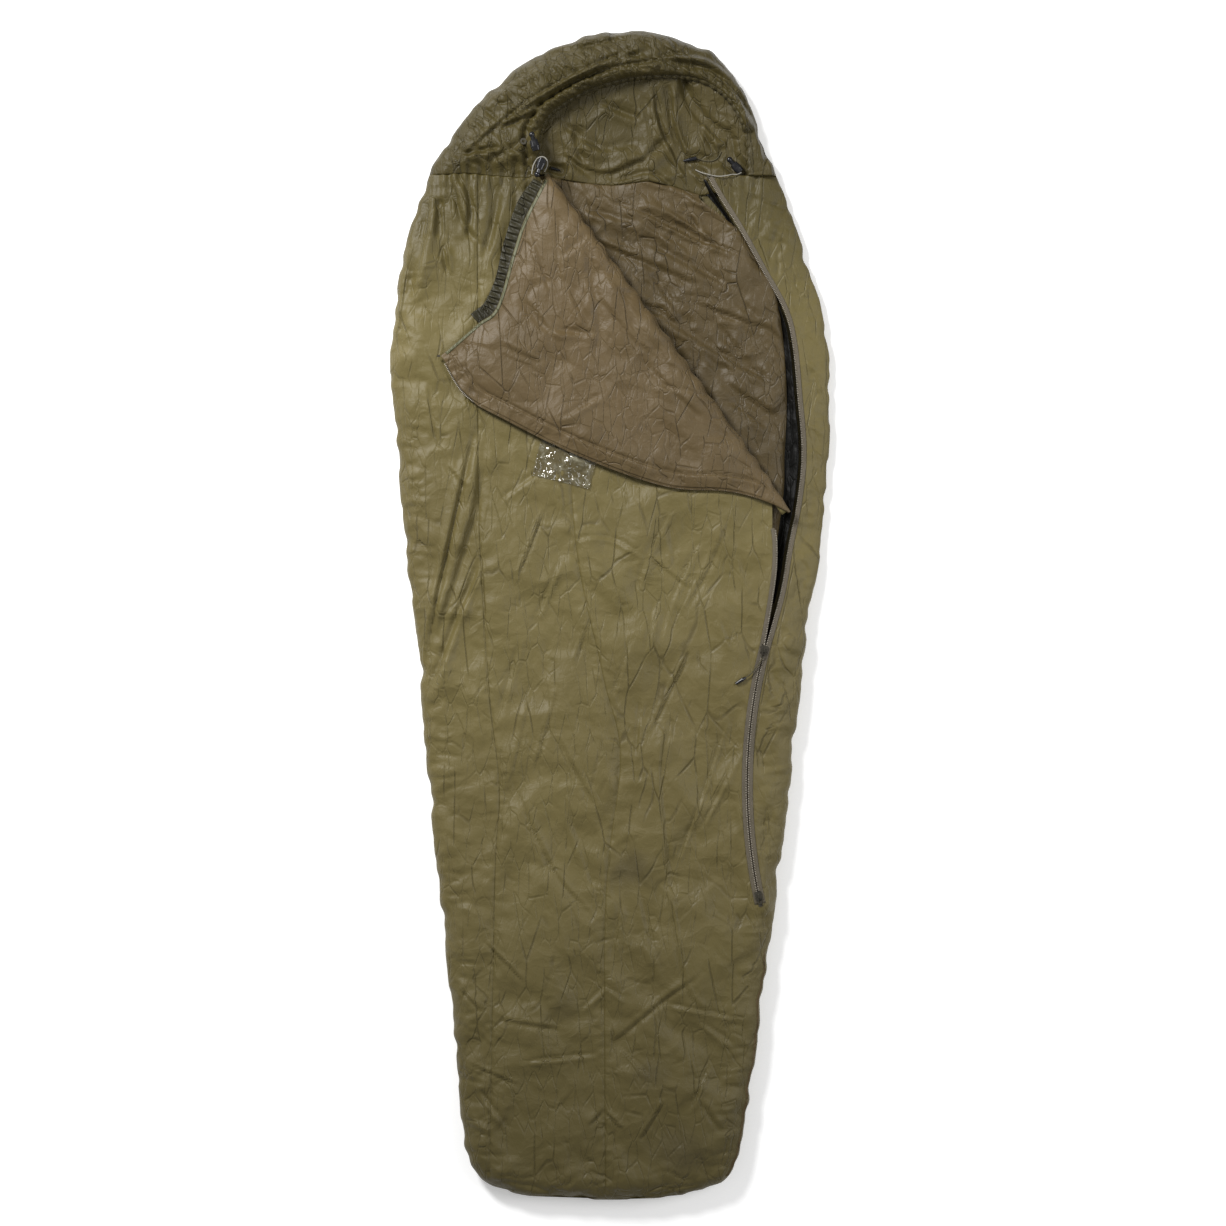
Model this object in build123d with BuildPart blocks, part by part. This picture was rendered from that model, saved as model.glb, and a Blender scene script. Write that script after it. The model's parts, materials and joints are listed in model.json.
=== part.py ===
from build123d import *
import math
import os

# Mummy-shaped insulated bivy sack, laid flat on its base with the upper front folded back.
# +Z up, +Y towards the hood, +X towards the zip side, origin under the middle of the outline.

# overall sizes
total_length = 2200.0
total_width = 830.0
half_length = total_length / 2
half_width = total_width / 2

# layers
fabric = 1.2
layer_gap = 0.3
base_fill = 18.0
front_fill = 18.0
flap_fill = 18.0
cavity_height = 18.0
side_wall = 32.0
hood_height = 72.0
brim_width = 22.0
brim_rise = 6.0
low_arm_share = 0.56
low_arm_end = 0.83
film_thickness = 0.3

# folded-back flap
fold_gap = 16.0
flap_gap = 0.3
swing_margin = 8.0
swing_clearance = 0.6
facing_width = 30.0
corner_slide = 1.6
binding_width = 5.0
collar_width = 28.0
collar_height = 5.0
film_length = 110.0
film_width = 70.0
film_turn = -14.0

# zip
channel_half = 10.5
channel_end = 24.0
tape_inner = 3.6
tape_outer = 10.2
tape_thickness = 0.8
tooth_inner = 1.0
tooth_height = 2.6
side_drop = 25.5
ramp_start = -40.0
ramp_end = 150.0
stop_length = 5.0
draft_width = 26.0

# sliders
slider_length = 18.0
slider_width = 13.4
slider_plate = 1.4
slider_clearance = 0.3
flange_width = 1.2
neck_half = 0.7
neck_length = 5.0
bridge_width = 2.6
bridge_length = 9.0
bridge_height = 4.2
bridge_wall = 1.1
upper_slider_travel = 10.0
lower_slider_travel = 474.0

# pull tabs
pull_bar_radius = 0.7
pull_arm = 1.6
pull_half = 3.4
pull_length = 13.0
pull_cord_diameter = 2.4
grip_length = 22.0
grip_radius = 3.4

# cord locks
lock_width = 17.0
lock_height = 13.0
lock_length = 20.0
lock_travel = 5.0
plunger_radius = 4.0
plunger_clearance = 0.3
button_radius = 5.5
bore_depth = 17.0
spring_length = 7.0
spring_wire = 0.4
spring_turns = 4
loop_reach = 12.5
cord_diameter = 2.5
thin_cord_diameter = 2.0
cord_end_length = 25.0
cord_end_radius = 4.0
short_end_length = 17.0
short_end_radius = 3.0
eyelet_outer = 6.0
eyelet_inner = 2.6
eyelet_height = 1.0

# levels, from the surface it rests on upwards
base_fill_bottom = fabric + layer_gap
base_fill_top = base_fill_bottom + base_fill
lining_bottom = base_fill_top + layer_gap
lining_top = lining_bottom + fabric
front_lining_bottom = lining_top + cavity_height
front_fill_bottom = front_lining_bottom + fabric + layer_gap
front_fill_top = front_fill_bottom + front_fill
front_bottom = front_fill_top + layer_gap
front_top = front_bottom + fabric
fold_level = front_top + flap_gap
flap_bottom = fold_level + flap_gap
flap_fill_bottom = flap_bottom + fabric + layer_gap
flap_fill_top = flap_fill_bottom + flap_fill
flap_lining_bottom = flap_fill_top + layer_gap
flap_top = flap_lining_bottom + fabric
facing_top = flap_top + tape_thickness
closed_underside = 2 * fold_level - facing_top
swing_floor = closed_underside - swing_clearance
tape_bottom = front_bottom
tape_middle = tape_bottom + tape_thickness / 2
tooth_bottom = tape_middle - tooth_height / 2
tooth_top = tape_middle + tooth_height / 2

os.makedirs("parts", exist_ok=True)


def save(piece, name):
    piece.part.label = name
    export_step(piece.part, f"parts/{name}.step")


def at(across, along):
    """Plan point from shares of the half width and the half length."""
    return (across * half_width, along * half_length)


# plan curves, as shares of the half width and the half length
outline_shares = [
    (0.02, 1.002), (-0.28, 0.966), (-0.55, 0.898), (-0.76, 0.795), (-0.854, 0.727), (-0.954, 0.591),
    (-1.002, 0.43), (-0.973, 0.30), (-0.93, 0.10), (-0.882, -0.03), (-0.85, -0.193), (-0.80, -0.397),
    (-0.742, -0.602), (-0.69, -0.805), (-0.655, -0.925), (-0.50, -0.982), (-0.116, -1.002), (0.25, -0.997),
    (0.48, -0.976), (0.58, -0.925), (0.64, -0.805), (0.70, -0.63), (0.783, -0.397), (0.845, -0.193),
    (0.90, -0.01), (0.965, 0.14), (1.002, 0.39), (0.955, 0.53), (0.90, 0.60), (0.783, 0.727),
    (0.695, 0.81), (0.602, 0.898), (0.467, 0.963), (0.25, 0.992),
]
fold_start = at(-0.282, 0.75)
fold_end = at(0.81, 0.1755)
flap_neck_shares = [(-0.386, 0.673), (-0.44, 0.614), (-0.513, 0.523), (-0.60, 0.494)]
flap_corner = (-0.77, 0.438)
flap_zip_shares = [
    (-0.66, 0.373), (-0.477, 0.332), (-0.137, 0.269), (0.246, 0.218), (0.518, 0.21), (0.675, 0.196),
]
side_path_shares = [
    (0.765, 0.038), (0.80, 0.112), (0.845, 0.20), (0.863, 0.28), (0.845, 0.37), (0.822, 0.46),
    (0.782, 0.52), (0.684, 0.588), (0.578, 0.66), (0.482, 0.718), (0.441, 0.746),
]
front_path_shares = [(0.732, 0.02), (0.752, 0.075), (0.755, 0.12), (0.748, 0.148)]
zip_top = at(0.699, -0.051)
zip_middle = at(0.617, -0.29)
zip_bottom = at(0.675, -0.491)
neck_line = 0.751 * half_length
left_seam_shares = [
    (-0.597, 0.50), (-0.59, 0.14), (-0.545, -0.13), (-0.50, -0.30), (-0.52, -0.45), (-0.55, -1.05),
]
centre_seam_shares = [
    (-0.183, 0.50), (-0.164, 0.143), (-0.034, -0.104), (0.043, -0.245), (-0.024, -0.50), (-0.024, -1.05),
]
face_shares = [
    (-0.285, 0.70), (-0.318, 0.80), (-0.285, 0.846), (-0.205, 0.872), (-0.07, 0.898), (0.13, 0.916),
    (0.36, 0.916), (0.504, 0.891), (0.593, 0.844), (0.629, 0.79), (0.63, 0.70),
]


def between(start, end):
    return (end[0] - start[0], end[1] - start[1])


def length_of(step):
    return math.hypot(step[0], step[1])


def offset_points(points, amount, first=None, closed=False):
    """Points moved sideways to the left of their direction of travel; first fixes the first normal."""
    moved = []
    count = len(points)
    for index, point in enumerate(points):
        before = points[index - 1] if closed or index > 0 else point
        after = points[(index + 1) % count] if closed or index < count - 1 else point
        step = between(before, after)
        size = length_of(step)
        normal = (-step[1] / size, step[0] / size)
        if index == 0 and first is not None:
            normal = first
        moved.append((point[0] + normal[0] * amount, point[1] + normal[1] * amount))
    return moved


outline_points = [at(*share) for share in outline_shares]
side_path = [zip_top] + [at(*share) for share in side_path_shares]
front_path = [zip_top] + [at(*share) for share in front_path_shares]


def outline_plan(inset=0.0):
    """Outer outline, moved inwards by inset and held to the overall length and width."""
    with BuildSketch() as plan:
        with BuildLine():
            Spline(*offset_points(outline_points, inset, closed=True), periodic=True)
        make_face()
        Rectangle(total_width - 2 * inset, total_length - 2 * inset, mode=Mode.INTERSECT)
    return plan.sketch


def block_plan(left, low, right, high):
    """Rectangle between two corners."""
    with BuildSketch() as plan:
        with Locations(((left + right) / 2, (low + high) / 2)):
            Rectangle(right - left, high - low)
    return plan.sketch


# the zip's closed stretch lies on one circle, so that the sliders can follow it
def circle_centre(a, b, c):
    """Centre of the circle through three points."""
    turn = 2 * (a[0] * (b[1] - c[1]) + b[0] * (c[1] - a[1]) + c[0] * (a[1] - b[1]))
    squares = [point[0] ** 2 + point[1] ** 2 for point in (a, b, c)]
    x = (squares[0] * (b[1] - c[1]) + squares[1] * (c[1] - a[1]) + squares[2] * (a[1] - b[1])) / turn
    y = (squares[0] * (c[0] - b[0]) + squares[1] * (a[0] - c[0]) + squares[2] * (b[0] - a[0])) / turn
    return (x, y)


zip_centre = circle_centre(zip_top, zip_middle, zip_bottom)
zip_radius = length_of(between(zip_centre, zip_top))
zip_angle = math.atan2(zip_top[1] - zip_centre[1], zip_top[0] - zip_centre[0])
zip_end_angle = math.atan2(zip_bottom[1] - zip_centre[1], zip_bottom[0] - zip_centre[0]) % (2 * math.pi)
zip_arc_length = zip_radius * (zip_end_angle - zip_angle)
zip_normal = (math.cos(zip_angle), math.sin(zip_angle))


def on_zip(travel, aside=0.0):
    """Plan point at a distance down the closed zip, aside to its left."""
    angle = zip_angle + travel / zip_radius
    radius = zip_radius + aside
    return (zip_centre[0] + radius * math.cos(angle), zip_centre[1] + radius * math.sin(angle))


def zip_arc(aside, start, end):
    ThreePointArc(on_zip(start, aside), on_zip((start + end) / 2, aside), on_zip(end, aside))


def zip_strip(path, inner, outer, end):
    """Strip along the closed zip and on up the given open path, between two sideways distances."""
    inner_path = offset_points(path, inner, first=zip_normal)
    outer_path = offset_points(path, outer, first=zip_normal)
    with BuildSketch() as plan:
        with BuildLine():
            zip_arc(inner, end, 0)
            Spline(*inner_path)
            Line(inner_path[-1], outer_path[-1])
            Spline(*outer_path)
            zip_arc(outer, end, 0)
            Line(on_zip(end, inner), on_zip(end, outer))
        make_face()
    return plan.sketch


def beyond_zip(path, aside, end):
    """Everything to the right of the zip line, moved aside to its left."""
    edge = offset_points(path, aside, first=zip_normal)
    far = total_width
    with BuildSketch() as plan:
        with BuildLine():
            zip_arc(aside, end, 0)
            Spline(*edge)
            Polyline(edge[-1], (edge[-1][0], total_length), (far, total_length), (far, on_zip(end)[1]),
                     on_zip(end, aside))
        make_face()
    return plan.sketch


# the fold line, its direction and the flap's shape in the plan
fold_step = between(fold_start, fold_end)
fold_length = length_of(fold_step)
fold_along = (fold_step[0] / fold_length, fold_step[1] / fold_length)
fold_across = (-fold_along[1], fold_along[0])


def across_fold(point):
    """Point mirrored in the fold line, where the closed flap brings it."""
    side = (point[0] - fold_start[0]) * fold_across[0] + (point[1] - fold_start[1]) * fold_across[1]
    return (point[0] - 2 * side * fold_across[0], point[1] - 2 * side * fold_across[1])


def beyond_fold(gap):
    """Everything on the zip side of the fold line, moved by gap towards the flap."""
    start = (fold_start[0] - fold_across[0] * gap, fold_start[1] - fold_across[1] * gap)
    reach = total_length
    low = (start[0] + fold_along[0] * reach, start[1] + fold_along[1] * reach)
    high = (start[0] - fold_along[0] * reach, start[1] - fold_along[1] * reach)
    with BuildSketch() as plan:
        with BuildLine():
            Polyline(low, (low[0] + reach * fold_across[0], low[1] + reach * fold_across[1]),
                     (high[0] + reach * fold_across[0], high[1] + reach * fold_across[1]), high, close=True)
        make_face()
    return plan.sketch


def flap_plan(shorter=0.0, mirrored=False, margin=0.0):
    """Flap's outline as it lies folded back; shorter draws in its zip edge, margin grows it all round."""
    hem = [(x, y + shorter) for x, y in [at(*share) for share in flap_zip_shares]]
    corner = at(*flap_corner)
    corner = (corner[0] + corner_slide * shorter, corner[1] + shorter)
    neck = [fold_start] + [at(*share) for share in flap_neck_shares] + [corner]
    end = (fold_end[0] - fold_along[0] * shorter, fold_end[1] - fold_along[1] * shorter)
    edge = neck + hem + [end]
    if mirrored:
        edge = [across_fold(point) for point in edge]
    edge = offset_points(edge, margin, closed=True)
    turn = len(neck)
    with BuildSketch() as plan:
        with BuildLine():
            Spline(*edge[:turn])
            Spline(*edge[turn - 1:])
            Line(edge[-1], edge[0])
        make_face()
    return plan.sketch


swing_plan = flap_plan(mirrored=True, margin=swing_margin)


def face_points(outset):
    """Edge of the face opening, moved outwards."""
    return offset_points([at(*share) for share in face_shares], outset)


def face_plan(outset):
    """Face opening of the hood, from below the neck line upwards."""
    edge = face_points(outset)
    with BuildSketch() as plan:
        with BuildLine():
            Spline(*edge)
            Line(edge[-1], edge[0])
        make_face()
    return plan.sketch


def slab(level, thickness, keep, cut=()):
    """Flat layer: the plan shape keep without the shapes in cut."""
    with BuildPart() as piece:
        with BuildSketch(Plane.XY.offset(level)):
            add(keep)
            for shape in cut:
                add(shape, mode=Mode.SUBTRACT)
        extrude(amount=thickness)
    return piece


def side_band(low, high):
    """Space between two levels of the zip side, which slumps down the ramp towards the hood."""
    reach = total_length
    floor = [(-reach, low), (ramp_start, low), (ramp_end, low - side_drop), (reach, low - side_drop)]
    roof = [(y, z + high - low) for y, z in reversed(floor)]
    with BuildPart() as band:
        with BuildSketch(Plane.YZ):
            with BuildLine():
                Polyline(*floor, *roof, close=True)
            make_face()
        extrude(amount=total_width, both=True)
    return band.part


def sloped(low, high, keep, cut=()):
    """Layer of the zip side that follows the ramp."""
    with BuildPart() as piece:
        with BuildSketch():
            add(keep)
            for shape in cut:
                add(shape, mode=Mode.SUBTRACT)
        extrude(amount=hood_height)
        add(side_band(low, high), mode=Mode.INTERSECT)
    return piece


outer = outline_plan()
fill_outline = outline_plan(fabric + layer_gap)
skin_inner = outline_plan(fabric)
wall_inner = outline_plan(side_wall)
channel_low = on_zip(zip_arc_length + channel_end)[1]
foot_line = -0.86 * half_length
below_neck = block_plan(-total_width, -total_length, total_width, neck_line)
above_neck = block_plan(-total_width, neck_line + layer_gap, total_width, total_length)
right_of_front_zip = beyond_zip(front_path, channel_half, zip_arc_length + channel_end)
right_of_side_zip = beyond_zip(side_path, -channel_half, zip_arc_length + channel_end)
flap_side_cut = beyond_fold(fold_gap)
neck_cut = block_plan(-total_width, neck_line, total_width, total_length)

# base
base_shell = slab(0, fabric, outer)
save(base_shell, "base_shell")

base_batting = slab(base_fill_bottom, base_fill, fill_outline)
save(base_batting, "base_batting")

base_lining = slab(lining_bottom, fabric, fill_outline & below_neck)
save(base_lining, "base_lining")

hood_lining = slab(lining_bottom, fabric, fill_outline & above_neck)
save(hood_lining, "hood_lining")

# side walls of the lower part
wall_ring = fill_outline - wall_inner
left_wall_space = block_plan(-total_width, foot_line + layer_gap, 0, neck_line)
foot_space = block_plan(-total_width, -total_length, total_width, foot_line)
right_wall_space = block_plan(0, foot_line + layer_gap, total_width, channel_low - layer_gap)
wall_bottom = lining_top + layer_gap
wall_height = front_fill_top - wall_bottom

left_side_batting = slab(wall_bottom, wall_height, wall_ring & left_wall_space)
save(left_side_batting, "left_side_batting")

foot_batting = slab(wall_bottom, wall_height, wall_ring & foot_space)
save(foot_batting, "foot_batting")

right_hip_batting = slab(wall_bottom, wall_height, wall_ring & right_wall_space)
save(right_hip_batting, "right_hip_batting")

# front layers, left of the zip and below the fold
front_cuts = [right_of_front_zip, flap_side_cut, neck_cut]
inside_wall = outline_plan(side_wall + layer_gap)

front_lining = slab(front_lining_bottom, fabric, inside_wall, front_cuts)
save(front_lining, "front_lining")

front_batting = slab(front_fill_bottom, front_fill, inside_wall, front_cuts)
save(front_batting, "front_batting")


def left_of_seam(shares):
    """Everything to the left of a seam of the front."""
    seam = [at(*share) for share in shares]
    with BuildSketch() as plan:
        with BuildLine():
            Spline(*seam)
            Polyline(seam[-1], (-total_width, seam[-1][1]), (-total_width, total_length),
                     (seam[0][0], total_length), seam[0])
        make_face()
    return plan.sketch


left_panel_plan = left_of_seam(left_seam_shares)
middle_panel_plan = left_of_seam(centre_seam_shares)
skin_ring = outer - skin_inner
skin_height = front_bottom - base_fill_bottom
left_skin_space = block_plan(-total_width, foot_line, 0, neck_line)

with BuildPart() as front_left_panel:
    with BuildSketch(Plane.XY.offset(front_bottom)):
        add(outer & left_panel_plan)
        for shape in front_cuts:
            add(shape, mode=Mode.SUBTRACT)
    extrude(amount=fabric)
    with BuildSketch(Plane.XY.offset(base_fill_bottom)):
        add(skin_ring & left_skin_space)
    extrude(amount=skin_height)
save(front_left_panel, "front_left_panel")

front_middle_panel = slab(front_bottom, fabric, (outer & middle_panel_plan) - left_panel_plan, front_cuts)
save(front_middle_panel, "front_middle_panel")

front_right_panel = slab(front_bottom, fabric, outer - middle_panel_plan, front_cuts)
save(front_right_panel, "front_right_panel")

foot_panel = slab(base_fill_bottom, skin_height, skin_ring & foot_space)
save(foot_panel, "foot_panel")

# right side, beside the zip
beside_zip = right_of_side_zip & below_neck
with BuildPart() as right_side_batting:
    with BuildSketch(Plane.XY.offset(wall_bottom)):
        add(beside_zip & fill_outline)
    extrude(amount=hood_height)
    add(side_band(-hood_height, front_fill_top), mode=Mode.INTERSECT)
save(right_side_batting, "right_side_batting")

with BuildPart() as right_side_panel:
    with BuildSketch(Plane.XY.offset(base_fill_bottom)):
        add(outer & beside_zip)
    extrude(amount=hood_height)
    add(side_band(front_bottom, front_top), mode=Mode.INTERSECT)
save(right_side_panel, "right_side_panel")

right_skin_space = block_plan(0, foot_line, total_width, neck_line)
with BuildPart() as right_skin:
    with BuildSketch(Plane.XY.offset(base_fill_bottom)):
        add(skin_ring & right_skin_space)
    extrude(amount=hood_height)
    add(side_band(-hood_height, front_bottom), mode=Mode.INTERSECT)
save(right_skin, "right_wall_panel")

# hood round the face opening; its right arm stays below the closed flap
hood_space = fill_outline & above_neck
low_top = swing_floor - fabric - layer_gap
low_arm = block_plan(low_arm_share * half_width, neck_line, total_width, low_arm_end * half_length)
low_space = swing_plan + low_arm
beyond_brim = face_plan(brim_width + layer_gap)

with BuildPart() as hood_batting:
    with BuildSketch(Plane.XY.offset(wall_bottom)):
        add(hood_space)
        add(beyond_brim, mode=Mode.SUBTRACT)
    extrude(amount=hood_height - wall_bottom)
    with BuildSketch(Plane.XY.offset(low_top)):
        add(low_space)
    extrude(amount=hood_height, mode=Mode.SUBTRACT)
save(hood_batting, "hood_batting")

with BuildPart() as hood_panel:
    with BuildSketch(Plane.XY.offset(hood_height + layer_gap)):
        add(outer & above_neck)
        add(beyond_brim, mode=Mode.SUBTRACT)
        add(low_space, mode=Mode.SUBTRACT)
    extrude(amount=fabric)
    with BuildSketch(Plane.XY.offset(low_top + layer_gap)):
        add(outer & above_neck & low_space)
        add(beyond_brim, mode=Mode.SUBTRACT)
    extrude(amount=fabric)
    with BuildSketch(Plane.XY.offset(base_fill_bottom)):
        add(skin_ring & above_neck)
    extrude(amount=low_top - base_fill_bottom)
    with BuildSketch(Plane.XY.offset(low_top)):
        add((skin_ring & above_neck) - low_space)
    extrude(amount=hood_height + layer_gap - low_top)
save(hood_panel, "hood_panel")

# brim with the drawcord lying in its channel
brim_top = hood_height + brim_rise
brim_band = (face_plan(brim_width) - face_plan(0)) & above_neck
draw_middle = brim_width / 2
draw_half = cord_diameter / 2
draw_band = (face_plan(draw_middle + draw_half) - face_plan(draw_middle - draw_half)) & above_neck
draw_space = face_plan(draw_middle + draw_half + layer_gap) - face_plan(draw_middle - draw_half - layer_gap)
draw_level = swing_floor - cord_diameter - 2 * fabric

with BuildPart() as hood_brim:
    with BuildSketch(Plane.XY.offset(wall_bottom)):
        add(brim_band)
    extrude(amount=brim_top - wall_bottom)
    with BuildSketch(Plane.XY.offset(swing_floor)):
        add(low_space)
    extrude(amount=hood_height, mode=Mode.SUBTRACT)
    with BuildSketch(Plane.XY.offset(draw_level - layer_gap)):
        add(draw_space)
    extrude(amount=cord_diameter + 2 * layer_gap, mode=Mode.SUBTRACT)
save(hood_brim, "hood_brim")

hood_drawcord = slab(draw_level, cord_diameter, draw_band)
save(hood_drawcord, "hood_drawcord")

# zip: a tape and a row of teeth on each side
zip_tape_front = slab(tape_bottom, tape_thickness,
                      zip_strip(front_path, tape_inner, tape_outer, zip_arc_length))
save(zip_tape_front, "zip_tape_front")

zip_teeth_front = slab(tooth_bottom, tooth_height,
                       zip_strip(front_path, tooth_inner, tape_inner, zip_arc_length))
save(zip_teeth_front, "zip_teeth_front")

zip_tape_side = sloped(tape_bottom, tape_bottom + tape_thickness,
                       zip_strip(side_path, -tape_outer, -tape_inner, zip_arc_length))
save(zip_tape_side, "zip_tape_side")

zip_teeth_side = sloped(tooth_bottom, tooth_top,
                        zip_strip(side_path, -tape_inner, -tooth_inner, zip_arc_length))
save(zip_teeth_side, "zip_teeth_side")

stop_start = zip_arc_length + layer_gap
with BuildPart() as zip_bottom_stop:
    with BuildSketch(Plane.XY.offset(tooth_bottom)):
        with BuildLine():
            zip_arc(tape_inner, stop_start, stop_start + stop_length)
            Line(on_zip(stop_start + stop_length, tape_inner), on_zip(stop_start + stop_length, -tape_inner))
            zip_arc(-tape_inner, stop_start + stop_length, stop_start)
            Line(on_zip(stop_start, -tape_inner), on_zip(stop_start, tape_inner))
        make_face()
    extrude(amount=tooth_height)
save(zip_bottom_stop, "zip_bottom_stop")

side_end = side_path[-1]
side_step = between(side_path[-2], side_end)
side_tangent = (side_step[0] / length_of(side_step), side_step[1] / length_of(side_step))
side_stop_origin = (side_end[0] + side_tangent[1] * tape_inner / 2,
                    side_end[1] - side_tangent[0] * tape_inner / 2, tape_middle - side_drop)
with BuildPart() as zip_top_stop:
    with BuildSketch(Plane(origin=side_stop_origin, z_dir=(side_tangent[0], side_tangent[1], 0))):
        Rectangle(tape_inner, tape_inner)
    extrude(amount=stop_length)
save(zip_top_stop, "zip_top_stop")

# padded tubes behind the zip
draft_top = tooth_bottom - slider_clearance - slider_plate - slider_clearance
with BuildPart() as front_draft_tube:
    with BuildSketch(Plane.XY.offset(front_fill_bottom)):
        add(zip_strip(front_path, -channel_half + layer_gap, channel_half - layer_gap, zip_arc_length))
        add(block_plan(-total_width, -total_length, total_width, ramp_start), mode=Mode.INTERSECT)
    extrude(amount=draft_top - front_fill_bottom)
save(front_draft_tube, "front_draft_tube")

side_draft_tube = slab(wall_bottom, tooth_bottom - side_drop - layer_gap - wall_bottom,
                       zip_strip(side_path, -channel_half + layer_gap, draft_width, zip_arc_length)
                       & block_plan(-total_width, ramp_end, total_width, neck_line))
save(side_draft_tube, "side_draft_tube")


def slider_body(travel, facing):
    """Slider on the closed zip; facing is 1 when its neck is at the end towards the hood."""
    angle = zip_angle + travel / zip_radius
    across = Vector(math.cos(angle), math.sin(angle), 0)
    centre = on_zip(travel)
    along = Vector(across.Y, -across.X, 0) * facing
    top = tooth_top + slider_clearance
    bottom = tooth_bottom - slider_clearance - slider_plate
    plate_plane = Plane(origin=(centre[0], centre[1], bottom), x_dir=along, z_dir=(0, 0, 1))
    rail_middle = (slider_width - flange_width) / 2
    upper_rail = top - (tape_bottom + tape_thickness + slider_clearance)
    lower_rail = tape_bottom - slider_clearance - (bottom + slider_plate)
    with BuildPart() as body:
        with BuildSketch(plate_plane):
            RectangleRounded(slider_length, slider_width, slider_width / 4)
        extrude(amount=slider_plate)
        with BuildSketch(plate_plane.offset(top - bottom)):
            RectangleRounded(slider_length, slider_width, slider_width / 4)
        extrude(amount=slider_plate)
        with BuildSketch(plate_plane):
            with Locations(((slider_length - neck_length) / 2, 0)):
                Rectangle(neck_length, 2 * neck_half)
        extrude(amount=top - bottom + slider_plate)
        with BuildSketch(plate_plane.offset(slider_plate)):
            with Locations((0, rail_middle), (0, -rail_middle)):
                Rectangle(slider_length / 2, flange_width)
        extrude(amount=lower_rail)
        with BuildSketch(plate_plane.offset(top - bottom - upper_rail)):
            with Locations((0, rail_middle), (0, -rail_middle)):
                Rectangle(slider_length / 2, flange_width)
        extrude(amount=upper_rail)
        bridge_plane = Plane(origin=(centre[0], centre[1], top + slider_plate), x_dir=along,
                             z_dir=along.cross(Vector(0, 0, 1)))
        with BuildSketch(bridge_plane):
            with BuildLine():
                FilletPolyline((-bridge_length / 2, 0), (-bridge_length / 2, bridge_height),
                               (bridge_length / 2, bridge_height), (bridge_length / 2, 0),
                               radius=bridge_height / 3)
                Line((bridge_length / 2, 0), (-bridge_length / 2, 0))
            make_face()
            with Locations((0, (bridge_height - bridge_wall) / 2)):
                Rectangle(bridge_length - 2 * bridge_wall, bridge_height - bridge_wall, mode=Mode.SUBTRACT)
        extrude(amount=bridge_width / 2, both=True)
    return body


hinge_level = tooth_top + slider_clearance + slider_plate + (bridge_height - bridge_wall) / 2


def pull_tab(travel):
    """Wire frame pull hung in the slider's bridge, lying down the zip."""
    angle = zip_angle + travel / zip_radius
    across = Vector(math.cos(angle), math.sin(angle), 0)
    along = Vector(-across.Y, across.X, 0)
    centre = on_zip(travel)
    plane = Plane(origin=(centre[0], centre[1], hinge_level - pull_bar_radius), x_dir=along, z_dir=(0, 0, 1))
    inner = pull_half - pull_arm
    with BuildPart() as pull:
        with BuildSketch(plane):
            with Locations(((pull_length + pull_bar_radius) / 2, 0)):
                RectangleRounded(pull_length + 3 * pull_bar_radius, 2 * pull_half, pull_bar_radius)
            with Locations((pull_length / 2, 0)):
                Rectangle(pull_length - 2 * pull_bar_radius, 2 * inner, mode=Mode.SUBTRACT)
        extrude(amount=2 * pull_bar_radius)
    return pull


upper_slider = slider_body(upper_slider_travel, 1)
save(upper_slider, "upper_slider")

lower_slider = slider_body(lower_slider_travel, -1)
save(lower_slider, "lower_slider")

upper_pull_tab = pull_tab(upper_slider_travel)
save(upper_pull_tab, "upper_pull_tab")

lower_pull_tab = pull_tab(lower_slider_travel)
save(lower_pull_tab, "lower_pull_tab")


# share of the shorter run that an arc may take up at each of its corners
run_share = 0.45


def corner_radii(points):
    """Largest arc that each corner's two runs allow."""
    radii = []
    for before, corner, after in zip(points, points[1:], points[2:]):
        run_in = Vector(*corner) - Vector(*before)
        run_out = Vector(*after) - Vector(*corner)
        half_turn = math.radians(run_in.get_angle(run_out)) / 2
        radii.append(run_share * min(run_in.length, run_out.length) / math.tan(half_turn))
    return radii


def cord(points, diameter, name):
    """Round cord along straight runs joined by tangent arcs."""
    with BuildPart() as tube:
        with BuildLine() as route:
            FilletPolyline(*points, radius=corner_radii(points))
        with BuildSketch(Plane(origin=points[0], z_dir=Vector(*points[1]) - Vector(*points[0]))):
            Circle(diameter / 2)
        sweep(path=route.wires()[0])
    print(name, "length", round(route.wires()[0].length, 1))
    save(tube, name)


# cord and grip on the upper pull
pull_end = on_zip(upper_slider_travel + pull_length + 3 * pull_bar_radius)
pull_cord_steps = [(0, 0), (-5.0, -10.0), (-13.5, -20.0), (-21.5, -30.5), (-31.0, -36.5)]
pull_cord_points = [(pull_end[0] + x, pull_end[1] + y, hinge_level) for x, y in pull_cord_steps]
cord(pull_cord_points, pull_cord_diameter, "upper_pull_cord")



def turned_piece(start, step, length, profile, name):
    """Round piece along step; profile holds shares of its length with the radius there."""
    with BuildPart() as piece:
        for share, radius in profile:
            with BuildSketch(Plane(origin=start + step * (length * share), z_dir=step)):
                Circle(radius)
        loft(ruled=True)
    save(piece, name)


grip_start = Vector(*pull_cord_points[-1])
grip_step = (grip_start - Vector(*pull_cord_points[-2])).normalized()
grip_profile = [(0, 1.8), (0.3, grip_radius), (1, 2.7)]
turned_piece(grip_start, grip_step, grip_length, grip_profile, "upper_pull_grip")

# folded-back flap
flap_cut = [flap_side_cut]
flap_shell = slab(flap_bottom, fabric, flap_plan(), flap_cut)
save(flap_shell, "flap_shell")

tape_reach = tape_outer - tooth_inner
flap_batting = slab(flap_fill_bottom, flap_fill, flap_plan(shorter=tape_reach), flap_cut)
save(flap_batting, "flap_batting")

flap_lining = slab(flap_lining_bottom, fabric, flap_plan(), flap_cut)
save(flap_lining, "flap_lining")


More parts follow.
